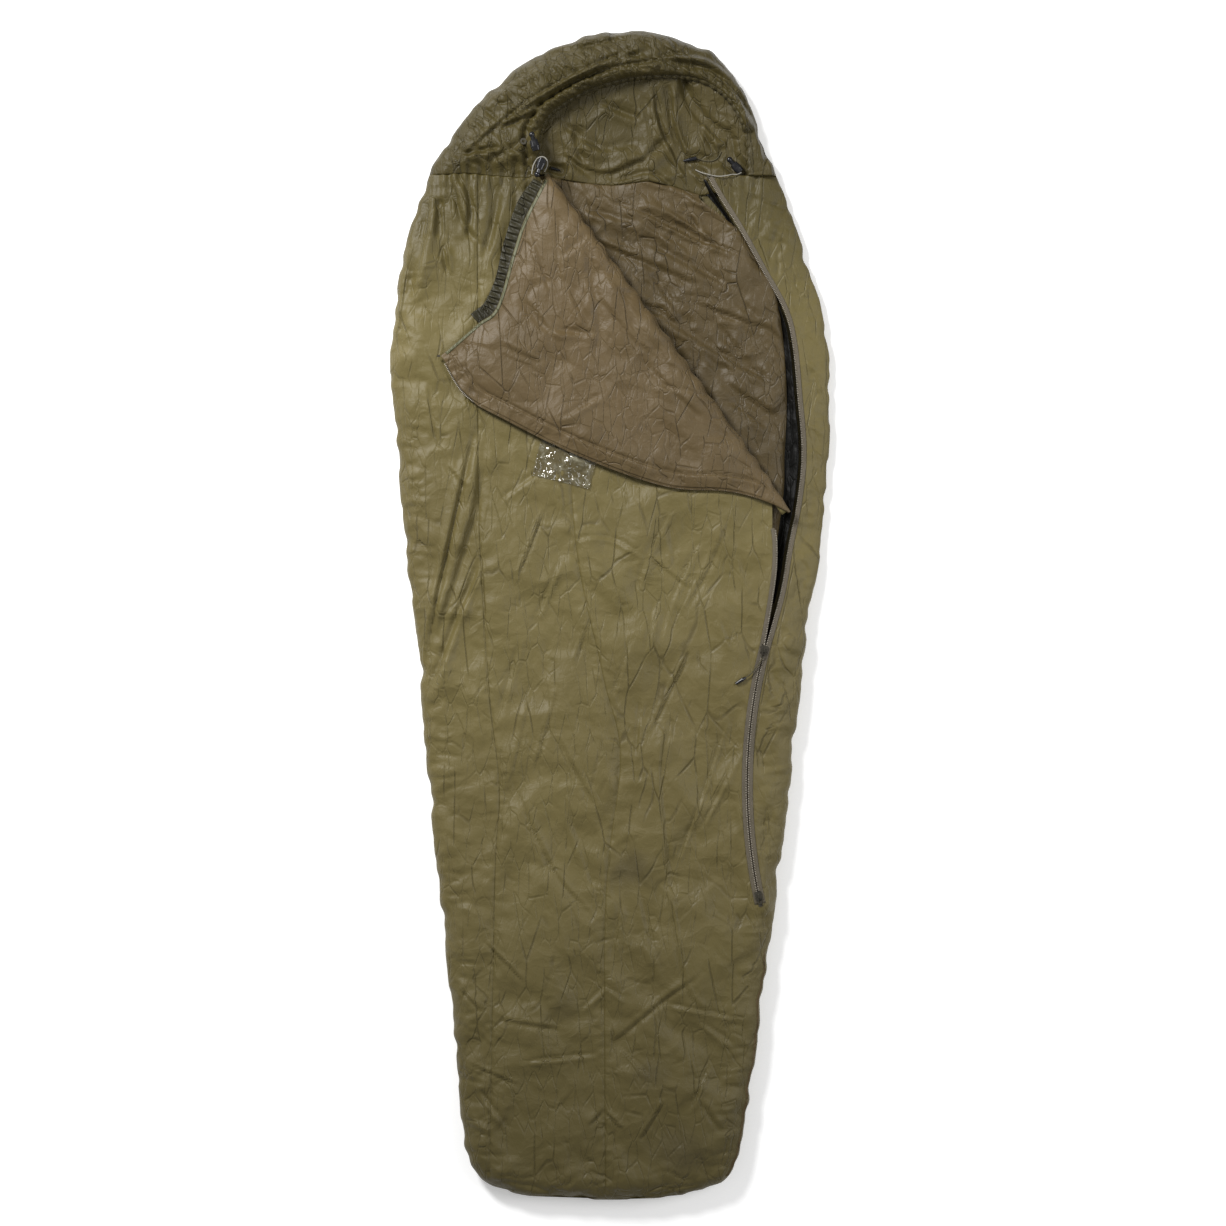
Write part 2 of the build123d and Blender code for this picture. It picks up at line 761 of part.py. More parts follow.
def hem_strip(inner, outer):
    """Strip along the flap's zip edge, between two distances inside it."""
    edges = []
    for inside in (inner, outer):
        corner = at(*flap_corner)
        points = [(corner[0] + corner_slide * inside, corner[1] + inside)]
        points += [(x, y + inside) for x, y in [at(*share) for share in flap_zip_shares]]
        points.append((fold_end[0] - fold_along[0] * inside, fold_end[1] - fold_along[1] * inside))
        edges.append(points)
    with BuildSketch() as plan:
        with BuildLine():
            Spline(*edges[0])
            Line(edges[0][-1], edges[1][-1])
            Spline(*edges[1])
            Line(edges[1][0], edges[0][0])
        make_face()
    return plan.sketch


flap_facing = slab(flap_top, tape_thickness, hem_strip(tooth_inner, facing_width) & flap_plan(), flap_cut)
save(flap_facing, "flap_facing")

flap_tape_level = flap_fill_bottom + flap_fill / 2
flap_tooth_level = flap_tape_level + (tape_thickness - tooth_height) / 2
tooth_reach = tape_inner
flap_zip_tape = slab(flap_tape_level, tape_thickness, hem_strip(tooth_reach, tape_reach - layer_gap),
                     flap_cut)
save(flap_zip_tape, "flap_zip_tape")

flap_zip_teeth = slab(flap_tooth_level, tooth_height, hem_strip(tooth_inner, tooth_reach), flap_cut)
save(flap_zip_teeth, "flap_zip_teeth")

stop_corner = at(*flap_corner)
stop_corner = (stop_corner[0] + corner_slide * tooth_inner - layer_gap, stop_corner[1] + tooth_reach)
flap_top_stop = slab(flap_tooth_level, tooth_height,
                     block_plan(stop_corner[0] - stop_length, stop_corner[1] - tape_inner, *stop_corner))
save(flap_top_stop, "flap_top_stop")

# binding and collar on the flap's neck edge
neck_edge = [fold_start] + [at(*share) for share in flap_neck_shares] + [at(*flap_corner)]
collar_space = block_plan(-total_width, neck_edge[-2][1], 0, neck_edge[1][1])


def neck_strip(inner, outer):
    """Strip along the flap's neck edge, between two distances outside it."""
    inner_edge = offset_points(neck_edge, -inner)
    outer_edge = offset_points(neck_edge, -outer)
    with BuildSketch() as plan:
        with BuildLine():
            Spline(*inner_edge)
            Line(inner_edge[-1], outer_edge[-1])
            Spline(*outer_edge)
            Line(outer_edge[0], inner_edge[0])
        make_face()
        add(collar_space, mode=Mode.INTERSECT)
    return plan.sketch


flap_binding = slab(flap_top, tape_thickness, neck_strip(-binding_width, 0) & flap_plan(), flap_cut)
save(flap_binding, "flap_binding")

flap_collar = slab(flap_bottom, collar_height, neck_strip(0, collar_width), [flap_plan(margin=-layer_gap)])
save(flap_collar, "flap_collar")


# cord locks: a barrel, a sprung plunger with its button, and the spring between them
def lock_plane(middle, floor, heading):
    """Plane at the lower end of a lock that lies on floor, looking along its plunger."""
    turn = math.radians(heading)
    step = (math.cos(turn), math.sin(turn))
    origin = (middle[0] - step[0] * lock_length / 2, middle[1] - step[1] * lock_length / 2,
              floor + lock_height / 2)
    return Plane(origin=origin, x_dir=(-step[1], step[0], 0), z_dir=(step[0], step[1], 0))


# shares of a barrel's length with its width, height and corner radius there
barrel_profile = [
    (0, 0.8 * lock_width, 0.8 * lock_height, 4.5),
    (0.4, lock_width, lock_height, 5.8),
    (1, 0.85 * lock_width, 0.9 * lock_height, 5.2),
]
cord_hole_radius = 1.75


def cord_lock(middle, floor, heading, name):
    plane = lock_plane(middle, floor, heading)
    bore_start = lock_length - bore_depth
    stem_start = bore_start + spring_length + 2 * layer_gap
    button_start = lock_length + lock_travel + layer_gap
    cord_height = bore_start + spring_length + lock_travel
    with BuildPart() as barrel:
        for share, width, height, corner in barrel_profile:
            with BuildSketch(plane.offset(lock_length * share)):
                RectangleRounded(width, height, corner)
        loft(ruled=True)
        with BuildSketch(plane.offset(bore_start)):
            Circle(plunger_radius + plunger_clearance)
        extrude(amount=lock_length, mode=Mode.SUBTRACT)
        cross = Plane(origin=plane.origin + plane.z_dir * cord_height, x_dir=plane.z_dir, z_dir=plane.x_dir)
        with BuildSketch(cross):
            Circle(cord_hole_radius)
        extrude(amount=lock_width, both=True, mode=Mode.SUBTRACT)
    save(barrel, f"{name}_barrel")
    with BuildPart() as plunger:
        with BuildSketch(plane.offset(stem_start)):
            Circle(plunger_radius)
        extrude(amount=button_start - stem_start + button_radius)
        with BuildSketch(cross):
            Circle(cord_hole_radius)
        extrude(amount=lock_width, both=True, mode=Mode.SUBTRACT)
        button_foot = plane.origin + plane.z_dir * button_start
        with BuildSketch(Plane(origin=button_foot, x_dir=plane.x_dir, z_dir=plane.y_dir)):
            with Locations((0, -button_radius)):
                Circle(button_radius)
            with Locations((-button_radius, -button_radius)):
                Rectangle(2 * button_radius, 4 * button_radius, mode=Mode.SUBTRACT)
        revolve(axis=Axis(plane.origin, plane.z_dir))
    save(plunger, f"{name}_plunger")
    with BuildPart() as spring:
        with BuildLine() as coil:
            Helix((spring_length - 2 * spring_wire) / spring_turns, spring_length - 2 * spring_wire,
                  plunger_radius - 2 * spring_wire, direction=plane.z_dir,
                  center=plane.origin + plane.z_dir * (bore_start + layer_gap + spring_wire))
        with BuildSketch(Plane(origin=coil.line @ 0, z_dir=coil.line % 0)):
            Circle(spring_wire)
        sweep(is_frenet=True)
    save(spring, f"{name}_spring")


brim_floor = brim_top + layer_gap
lining_floor = lining_top + layer_gap
hood_lock_middle = at(-0.339, 0.7955)
neck_lock_middle = at(-0.312, 0.764)
right_lock_middle = at(0.5735, 0.7645)
hood_lock_heading = 106
neck_lock_heading = 250
right_lock_heading = 132
cord_lock(hood_lock_middle, brim_floor, hood_lock_heading, "hood_lock")
cord_lock(neck_lock_middle, brim_floor, neck_lock_heading, "neck_lock")
cord_lock(right_lock_middle, lining_floor, right_lock_heading, "right_lock")

# eyelet that the hood drawcord leaves by
hood_top = hood_height + layer_gap + fabric
with BuildPart() as cord_eyelet:
    with BuildSketch(Plane.XY.offset(hood_top)):
        with Locations(at(-0.392, 0.804)):
            Circle(eyelet_outer)
            Circle(eyelet_inner, mode=Mode.SUBTRACT)
    extrude(amount=eyelet_height)
save(cord_eyelet, "cord_eyelet")

# clear film patch on the front
with BuildPart() as film_patch:
    with BuildSketch(Plane.XY.offset(front_top)):
        with Locations(Location((*at(-0.205, 0.257), 0), (0, 0, film_turn))):
            RectangleRounded(film_length, film_width, film_width / 12)
    extrude(amount=film_thickness)
save(film_patch, "film_patch")

# light grey cord looped round the neck lock
loop_turn = math.radians(neck_lock_heading)
loop_level = brim_floor + cord_diameter / 2
loop_steps = [(-10.0, 23.0), (-loop_reach, 13.0), (-loop_reach, 1.0), (-9.5, -10.5), (0, -15.5), (9.5, -10.5),
              (loop_reach, 0.5), (10.5, 11.0)]
loop_points = [(neck_lock_middle[0] + along * math.cos(loop_turn) - aside * math.sin(loop_turn),
                neck_lock_middle[1] + along * math.sin(loop_turn) + aside * math.cos(loop_turn), loop_level)
               for aside, along in loop_steps]
cord(loop_points, cord_diameter, "neck_cord_loop")

# light grey cord from the hood lining over the top of the zip to the right lock
zip_head = side_path[-1]
tie_level = swing_floor - thin_cord_diameter / 2
tie_end = right_lock_middle
tie_points = [
    (zip_head[0] - 23.0, zip_head[1] + 17.5, lining_floor + thin_cord_diameter / 2),
    (zip_head[0] - 16.0, zip_head[1] + 13.5, lining_floor + 4.0),
    (zip_head[0] - 9.0, zip_head[1] + 10.0, tie_level - 5.5),
    (zip_head[0] - 1.0, zip_head[1] + 7.5, tie_level),
    (zip_head[0] + 9.0, zip_head[1] + 4.5, tie_level),
    (zip_head[0] + 22.0, zip_head[1] + 3.0, tie_level),
    (zip_head[0] + 35.0, zip_head[1] + 4.5, tie_level),
    (tie_end[0] - 8.0, tie_end[1] - 13.0, tie_level),
    (tie_end[0] + 1.0, tie_end[1] - 14.0, tie_level - 1.0),
    (tie_end[0] + 7.8, tie_end[1] - 9.2, tie_level - 5.5),
]
cord(tie_points, thin_cord_diameter, "neck_tie_cord")


def cord_end(middle, heading, floor, length, radius, name):
    """Moulded cord end lying on the lining, thicker at its closed end."""
    turn = math.radians(heading)
    step = Vector(math.cos(turn), math.sin(turn), 0)
    start = Vector(middle[0], middle[1], floor + radius) - step * (length / 2)
    turned_piece(start, step, length, [(0, 0.4 * radius), (0.45, 0.85 * radius), (1, radius)], name)


end_middle = at(0.36, 0.779)
end_heading = 12
cord_end(end_middle, end_heading, lining_floor, cord_end_length, cord_end_radius, "hood_cord_end")
short_end_heading = 165
cord_end(at(-0.248, 0.7625), short_end_heading, lining_floor, short_end_length, short_end_radius,
         "neck_cord_end")

# thin olive cord from the large cord end to the hood lining
tail_level = lining_floor + thin_cord_diameter / 2
end_turn = math.radians(end_heading)
tail_start = (end_middle[0] + math.cos(end_turn) * cord_end_length / 2,
              end_middle[1] + math.sin(end_turn) * cord_end_length / 2)
tail_points = [
    (tail_start[0] + 1.2, tail_start[1] + 0.2, lining_floor + cord_end_radius),
    (tail_start[0] + 9.0, tail_start[1] - 3.0, tail_level + 1.0),
    (tail_start[0] + 18.0, tail_start[1] - 5.0, tail_level),
    (tail_start[0] + 28.0, tail_start[1] - 5.2, tail_level),
    (tail_start[0] + 37.0, tail_start[1] - 2.0, tail_level),
    (tail_start[0] + 43.5, tail_start[1] + 5.0, tail_level),
    (tail_start[0] + 46.5, tail_start[1] + 13.0, tail_level),
]
cord(tail_points, thin_cord_diameter, "hood_cord_tail")
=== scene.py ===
import json
import math

import bmesh
import bpy
import numpy as np
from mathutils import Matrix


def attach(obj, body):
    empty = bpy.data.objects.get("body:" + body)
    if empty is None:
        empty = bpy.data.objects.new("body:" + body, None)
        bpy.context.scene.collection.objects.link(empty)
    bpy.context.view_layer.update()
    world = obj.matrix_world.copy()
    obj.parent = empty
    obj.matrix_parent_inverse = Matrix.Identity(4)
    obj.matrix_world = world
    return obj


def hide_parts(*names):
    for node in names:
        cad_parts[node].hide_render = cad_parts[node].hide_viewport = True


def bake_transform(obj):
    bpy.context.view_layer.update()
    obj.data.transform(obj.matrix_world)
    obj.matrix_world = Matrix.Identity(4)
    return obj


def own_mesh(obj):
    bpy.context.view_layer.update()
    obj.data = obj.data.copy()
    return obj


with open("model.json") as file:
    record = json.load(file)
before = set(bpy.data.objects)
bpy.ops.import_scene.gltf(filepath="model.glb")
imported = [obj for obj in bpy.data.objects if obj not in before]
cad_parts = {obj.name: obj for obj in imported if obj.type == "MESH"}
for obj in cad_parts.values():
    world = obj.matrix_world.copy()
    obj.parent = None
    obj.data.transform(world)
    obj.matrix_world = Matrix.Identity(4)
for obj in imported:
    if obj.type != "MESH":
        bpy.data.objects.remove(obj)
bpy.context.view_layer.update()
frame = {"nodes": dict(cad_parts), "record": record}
print("frame loaded")

# camera, light and floor
stage = {"cameraHeight": 6.0, "viewWidth": 2.2975, "aim": (0.0047, 0.0037), "keyPower": 185.0,
         "fillPower": 55.0, "skyLight": 0.33, "floorColour": (0.97, 0.97, 0.97, 1), "floorGlow": 0.25}

camera = bpy.data.objects.new("camera", bpy.data.cameras.new("camera"))
bpy.context.scene.collection.objects.link(camera)
camera.location = (*stage["aim"], stage["cameraHeight"])
camera.data.sensor_width = 36.0
camera.data.lens = 36.0 * (stage["cameraHeight"] - 0.05) / stage["viewWidth"]
bpy.context.scene.camera = camera
bpy.context.scene.view_settings.view_transform = "Standard"


# Round soft lamp; its turn comes from the line between its place and its aim.
def softLight(name, place, aim, size, power):
    lamp = bpy.data.lights.new(name, "AREA")
    lamp.shape, lamp.size, lamp.energy = "DISK", size, power
    lampObject = bpy.data.objects.new(name, lamp)
    bpy.context.scene.collection.objects.link(lampObject)
    back = np.array(place, float) - np.array(aim, float)
    lampObject.location = place
    lampObject.rotation_euler = (math.atan2(math.hypot(back[0], back[1]), back[2]), 0,
                                 math.atan2(back[0], -back[1]))


softLight("keyLight", (-1.9, 2.4, 2.6), (0, 0.2, 0), 1.1, stage["keyPower"])
softLight("fillLight", (2.7, 0.2, 2.6), (0, 0, 0), 2.2, stage["fillPower"])
world = bpy.data.worlds.new("room")
bpy.context.scene.world = world
world.use_nodes = True
world.node_tree.nodes["Background"].inputs[0].default_value = (1, 1, 1, 1)
world.node_tree.nodes["Background"].inputs[1].default_value = stage["skyLight"]


# A shader socket that can be used in sums.
class Wire:
    def __init__(self, tree, socket):
        self.tree, self.socket = tree, socket

    def make(self, kind, settings, inputs, output=0):
        node = self.tree.nodes.new(kind)
        for key, value in settings.items():
            if key == "stops":
                ramp = node.color_ramp
                while len(ramp.elements) < len(value):
                    ramp.elements.new(0.5)
                for element, (place, colour) in zip(ramp.elements, value):
                    element.position, element.color = place, colour
            else:
                setattr(node, key, value)
        for key, value in inputs.items():
            if isinstance(value, Wire):
                self.tree.links.new(value.socket, node.inputs[key])
            elif value is not None:
                node.inputs[key].default_value = value
        return Wire(self.tree, node.outputs[output])

    def sum(self, operation, first, second):
        return self.make("ShaderNodeMath", {"operation": operation}, {0: first, 1: second})

    def __add__(self, other): return self.sum("ADD", self, other)
    def __radd__(self, other): return self.sum("ADD", other, self)
    def __sub__(self, other): return self.sum("SUBTRACT", self, other)
    def __rsub__(self, other): return self.sum("SUBTRACT", other, self)
    def __mul__(self, other): return self.sum("MULTIPLY", self, other)
    def __rmul__(self, other): return self.sum("MULTIPLY", other, self)

    def between(self, low, high):
        return self.make("ShaderNodeMapRange", {"interpolation_type": "SMOOTHSTEP"},
                         {0: self, 1: low, 2: high})


# Screen colour out of 255 as the linear light that the shader wants.
def linear(colour):
    share = np.array(colour, float) / 255
    return (*np.where(share <= 0.04045, share / 12.92, ((share + 0.055) / 1.055) ** 2.4), 1.0)


# Material with its Principled shader, and a wire that starts from Object coordinates.
def newMaterial(name):
    material = bpy.data.materials.new(name)
    material.use_nodes = True
    tree = material.node_tree
    shader = tree.nodes["Principled BSDF"]
    place = Wire(tree, tree.nodes.new("ShaderNodeTexCoord").outputs["Object"])
    return material, shader, place


# Cloudy noise from 0 to 1; scale is clouds per metre.
def noiseOn(place, scale, detail=4.0, rough=0.55, distortion=0.0):
    return place.make("ShaderNodeTexNoise", {},
                      {"Vector": place, "Scale": scale, "Detail": detail, "Roughness": rough,
                       "Distortion": distortion})


# The first colour at share 0, the second at share 1.
def mixColour(place, share, first, second):
    return place.make("ShaderNodeMix", {"data_type": "RGBA"}, {0: share, 6: first, 7: second}, 2)


# Thin straight lines, the edges between stretched random cells.
def creaseLines(place, lean, across, along, width):
    turned = place.make("ShaderNodeMapping", {}, {"Vector": place, "Rotation": (0, 0, lean),
                                                  "Scale": (across, along, across)})
    edge = turned.make("ShaderNodeTexVoronoi", {"feature": "DISTANCE_TO_EDGE"},
                       {"Vector": turned, "Scale": 1.0, "Randomness": 1.0})
    return 1.0 - edge.between(0.0, width)


# Crinkled woven nylon: two shades in soft clouds, worn in patches, painted shade along the creases, painted
# shade towards the head and the foot, darker stains;
# the relief adds a net of sharp creases, fine crumpling and the weave.
def fabricMaterial(name, look):
    material, shader, place = newMaterial(name)
    tree = material.node_tree
    push = place.make("ShaderNodeCombineXYZ", {},
                      {0: noiseOn(place, 8.0, 3.0), 1: noiseOn(place, 7.0, 3.0), 2: 0.5})
    bent = place.make("ShaderNodeVectorMath", {"operation": "MULTIPLY_ADD"},
                      {0: push, 1: (0.10, 0.10, 0.0), 2: place})
    across, along = look["creaseScale"], look["creaseScale"] * look["stretch"]
    patches = noiseOn(place, 15.0, 2.0).between(0.42, 0.58)
    otherPatches = noiseOn(bent, 11.0, 2.0).between(0.42, 0.58)
    crease = (creaseLines(place, look["lean"], across, along, 0.030) * otherPatches
              + creaseLines(place, look["lean"] + 1.25, across * 1.2, along, 0.034) * (1.0 - otherPatches))
    fineCrease = creaseLines(place, look["lean"] - 0.7, across * 2.0, along * 2.0, 0.050) * patches
    otherLines = creaseLines(place, look["lean"] + 0.6, across * 2.4, along * 2.6, 0.055)
    fineCrease = fineCrease + otherLines * (1.0 - patches)
    sparse = noiseOn(place, 8.5, 2.0).between(0.42, 0.60)
    crease = crease * (0.25 + sparse * 0.75)
    fineCrease = fineCrease * (0.9 - sparse * 0.75)
    wide, small = (bent.make("ShaderNodeTexVoronoi", {"feature": "F1"}, {"Vector": bent, "Scale": scale})
                   for scale in (look["crumpleScale"] * 0.45, look["crumpleScale"] * 1.1))
    facets = wide * 0.75 + small * 0.3
    crumple = noiseOn(bent, look["crumpleScale"], 5.0, 0.60) * 0.65 + facets * 1.5
    weaveAcross, weaveAlong = (place.make("ShaderNodeTexWave", {"bands_direction": bands},
                                          {"Vector": place, "Scale": 420.0}) for bands in ("X", "Y"))
    weave = weaveAcross * 0.5 + weaveAlong * 0.5
    relief = (crumple * look["crumple"] - crease * look["crease"] - fineCrease * (look["crease"] * 0.7)
              + weave * look["weave"])
    bump = place.make("ShaderNodeBump", {}, {"Strength": 1.0, "Distance": 0.001, "Height": relief})
    clouds = noiseOn(place, 2.6, 5.0, 0.6).between(0.3, 0.7)
    fading = noiseOn(bent, 22.0, 4.0, 0.6).between(0.35, 0.75)
    colour = mixColour(place, clouds, linear(look["light"]), linear(look["dark"]))
    colour = mixColour(place, fading * 0.35, colour, linear(look["worn"]))
    # painted shade: the colour darkens along the crease lines
    paintedCreaseShade = (crease * 0.40 + fineCrease * 0.20).between(0.0, 1.0)
    colour = mixColour(place, paintedCreaseShade, colour, linear(look["crevice"]))
    lengthwise = place.make("ShaderNodeSeparateXYZ", {}, {"Vector": place}, 1)
    # painted shade: the colour darkens towards the head and towards the foot
    shade = lengthwise.between(0.52, 0.84) * look["headShade"]
    shade = shade + (0.0 - lengthwise).between(0.15, 1.15) * look["footShade"]
    colour = mixColour(place, shade, colour, linear(look["shadeColour"]))
    for spot, radius, strength in look.get("stains", ()):
        away = place.make("ShaderNodeVectorMath", {"operation": "DISTANCE"},
                          {0: place, 1: spot}, 1)
        ragged = away + noiseOn(place, 26.0, 4.0) * (radius * 1.1)
        stain = (1.0 - ragged.between(radius * 0.55, radius * 1.75)) * strength
        colour = mixColour(place, stain, colour, linear(look["stainColour"]))
    rough = look["rough"] + crumple * 0.06
    tree.links.new(colour.socket, shader.inputs["Base Color"])
    tree.links.new(rough.socket, shader.inputs["Roughness"])
    tree.links.new(bump.socket, shader.inputs["Normal"])
    shader.inputs["Sheen Weight"].default_value = look["sheen"]
    shader.inputs["Sheen Roughness"].default_value = 0.45
    shader.inputs["Specular IOR Level"].default_value = look["gloss"]
    return material


# Moulded plastic, metal or cord: one colour in faint clouds with fine grain and scuffs.
def hardMaterial(name, look):
    material, shader, place = newMaterial(name)
    tree = material.node_tree
    grain = noiseOn(place, look["grainScale"], 5.0, 0.6)
    scuff = noiseOn(place, look["grainScale"] * 0.12, 3.0, 0.7).between(0.45, 0.7)
    colour = mixColour(place, scuff, linear(look["light"]), linear(look["dark"]))
    bump = place.make("ShaderNodeBump", {}, {"Strength": 1.0, "Distance": look["grain"], "Height": grain})
    rough = look["rough"] + scuff * 0.15
    tree.links.new(colour.socket, shader.inputs["Base Color"])
    tree.links.new(rough.socket, shader.inputs["Roughness"])
    tree.links.new(bump.socket, shader.inputs["Normal"])
    shader.inputs["Metallic"].default_value = look["metal"]
    shader.inputs["Specular IOR Level"].default_value = 0.5
    return material


shellLook = {"light": (101, 91, 53), "dark": (92, 82, 46), "worn": (111, 100, 63), "crevice": (50, 42, 22),
             "creaseScale": 17.0, "stretch": 0.3, "lean": 0.35, "crease": 1.5, "crumpleScale": 34.0,
             "crumple": 3.6, "weave": 0.05, "rough": 0.43, "sheen": 0.02, "gloss": 0.30,
             "headShade": 0.88, "footShade": 0.72, "shadeColour": (66, 58, 27), "stainColour": (66, 59, 40),
             "stains": [((0.037, -0.478, 0.06), 0.05, 0.5), ((0.13, -1.002, 0.06), 0.06, 0.45),
                        ((0.075, -0.86, 0.06), 0.035, 0.35), ((-0.085, -0.735, 0.06), 0.04, 0.22)]}
liningLook = {**shellLook, "light": (91, 75, 48), "dark": (80, 66, 40), "worn": (100, 85, 58),
              "crevice": (46, 36, 22), "creaseScale": 22.0, "stretch": 0.35, "lean": -0.6, "crumple": 4.4,
              "crease": 1.6, "sheen": 0.02, "gloss": 0.32, "headShade": 0.0, "footShade": 0.0, "stains": []}
innerLook = {**liningLook, "light": (76, 63, 37), "dark": (64, 53, 29), "worn": (86, 72, 45),
             "crevice": (28, 22, 12)}
hoodLook = {**shellLook, "light": (64, 56, 25), "dark": (52, 45, 18), "worn": (73, 64, 33),
            "crevice": (22, 18, 8), "creaseScale": 24.0, "crumple": 4.8, "crease": 1.8, "gloss": 0.26,
            "headShade": 0.0, "stains": []}
faceLook = {**hoodLook, "light": (72, 63, 33), "dark": (59, 52, 26), "lean": 1.0}
brimLook = {**hoodLook, "light": (64, 57, 32), "dark": (52, 46, 25), "creaseScale": 30.0}
# near-black colours: painted shadow of the deep gap beside the zip, laid on the padded tube there
gapShadowLook = {**liningLook, "light": (13, 12, 10), "dark": (8, 8, 7), "worn": (18, 16, 14),
           "crevice": (4, 4, 4), "sheen": 0.0, "gloss": 0.15}
bindingLook = {**shellLook, "light": (92, 92, 66), "dark": (78, 77, 54), "worn": (108, 106, 80),
               "headShade": 0.0, "creaseScale": 60.0, "crumple": 1.2, "stains": []}
# dark colours: painted shadow of the flap's neck edge, laid on the gathered collar
shadowedCollarLook = {**hoodLook, "light": (44, 41, 25), "dark": (33, 30, 18), "worn": (54, 50, 31)}
tapeLook = {**shellLook, "light": (99, 91, 76), "dark": (85, 78, 65), "worn": (110, 101, 87),
            "headShade": 0.0, "crevice": (62, 55, 43), "creaseScale": 80.0, "crumple": 0.5, "crease": 0.2,
            "weave": 0.3, "sheen": 0.04, "gloss": 0.3, "stains": []}

shellFabric = fabricMaterial("shellFabric", shellLook)
liningFabric = fabricMaterial("liningFabric", liningLook)
innerFabric = fabricMaterial("innerFabric", innerLook)
hoodFabric = fabricMaterial("hoodFabric", hoodLook)
faceFabric = fabricMaterial("faceFabric", faceLook)
brimFabric = fabricMaterial("brimFabric", brimLook)
gapFabric = fabricMaterial("gapFabric", gapShadowLook)
bindingFabric = fabricMaterial("bindingFabric", bindingLook)
collarFabric = fabricMaterial("collarFabric", shadowedCollarLook)
tapeFabric = fabricMaterial("tapeFabric", tapeLook)
toothPlastic = hardMaterial("toothPlastic", {"light": (152, 144, 130), "dark": (120, 112, 98),
                                             "metal": 0.35, "rough": 0.34, "grainScale": 900.0,
                                             "grain": 0.00005})
sliderMetal = hardMaterial("sliderMetal", {"light": (88, 84, 74), "dark": (54, 51, 45), "metal": 0.85,
                                           "rough": 0.36, "grainScale": 1400.0, "grain": 0.00004})
darkPlastic = hardMaterial("darkPlastic", {"light": (17, 17, 20), "dark": (10, 10, 12), "metal": 0.0,
                                           "rough": 0.24, "grainScale": 900.0, "grain": 0.00003})
springSteel = hardMaterial("springSteel", {"light": (150, 150, 152), "dark": (110, 110, 112), "metal": 1.0,
                                           "rough": 0.3, "grainScale": 900.0, "grain": 0.00002})
greyCord = hardMaterial("greyCord", {"light": (140, 137, 128), "dark": (112, 109, 101), "metal": 0.0,
                                     "rough": 0.8, "grainScale": 1600.0, "grain": 0.0004})
oliveCord = hardMaterial("oliveCord", {"light": (74, 68, 46), "dark": (56, 51, 34), "metal": 0.0,
                                       "rough": 0.8, "grainScale": 1600.0, "grain": 0.0004})
print("materials ready")


# Curve through the points whose slope at each is half the step between its neighbours,
# evenly spaced along its length.
def smoothCurve(points, count, closed=False):
    p = np.array(points, float)
    ring = np.vstack([p[-1], p, p[:2]]) if closed else np.vstack([2 * p[0] - p[1], p, 2 * p[-1] - p[-2]])
    a, b, c, d = ring[:-3], ring[1:-2], ring[2:-1], ring[3:]
    t = np.linspace(0, 1, 24, endpoint=False)[:, None, None]
    path = 0.5 * (2 * b + (c - a) * t + (2 * a - 5 * b + 4 * c - d) * t ** 2
                  + (3 * b - a - 3 * c + d) * t ** 3)
    path = np.vstack([path.transpose(1, 0, 2).reshape(-1, p.shape[1]), p[0] if closed else p[-1]])
    return evenly(path, count)


# The same path with count points, equal steps apart.
def evenly(path, count):
    run = np.r_[0, np.cumsum(np.linalg.norm(np.diff(path, axis=0), axis=1))]
    return np.stack([np.interp(np.linspace(0, run[-1], count), run, path[:, k])
                     for k in range(path.shape[1])], 1)


# Sum of the steps along a path.
def pathLength(path):
    return np.linalg.norm(np.diff(path, axis=0), axis=1).sum()


# Unit directions along a plan path, and to its left.
def sideways(path):
    along = np.gradient(path[:, :2], axis=0)
    along /= np.linalg.norm(along, axis=1)[:, None]
    return along, np.stack([-along[:, 1], along[:, 0]], 1)


# Distance from each point to a path, the share along it, and the signed distance to its left.
def nearest(x, y, path):
    shape = x.shape
    p = np.stack([x.ravel(), y.ravel()], 1)
    best = np.full(len(p), 9.0)
    share = np.zeros(len(p))
    side = np.zeros(len(p))
    for k in range(len(path) - 1):
        step = path[k + 1] - path[k]
        rel = p - path[k]
        t = np.clip(rel @ step / (step @ step), 0, 1)
        off = rel - t[:, None] * step
        far = np.hypot(off[:, 0], off[:, 1])
        closer = far < best
        best = np.where(closer, far, best)
        share = np.where(closer, (k + t) / (len(path) - 1), share)
        side = np.where(closer, np.sign(step[0] * off[:, 1] - step[1] * off[:, 0]) * far, side)
    return best.reshape(shape), share.reshape(shape), side.reshape(shape)


# True where a point is inside a closed ring, by counting the edges to its right.
def inside(x, y, ring):
    hit = np.zeros(x.shape, bool)
    for (x0, y0), (x1, y1) in zip(ring, np.roll(ring, -1, axis=0)):
        if abs(y1 - y0) > 1e-12:
            hit ^= ((y0 > y) != (y1 > y)) & (x < x0 + (y - y0) * (x1 - x0) / (y1 - y0))
    return hit


# Slow start and slow end: three times the square less twice the cube, held between 0 and 1.
def smooth(t):
    t = np.clip(t, 0, 1)
    return t * t * (3 - 2 * t)


# z held below a ceiling, with a rounded turn.
def softUnder(z, ceiling, give=0.0015):
    return z - give * np.logaddexp(0, (z - ceiling) / give)


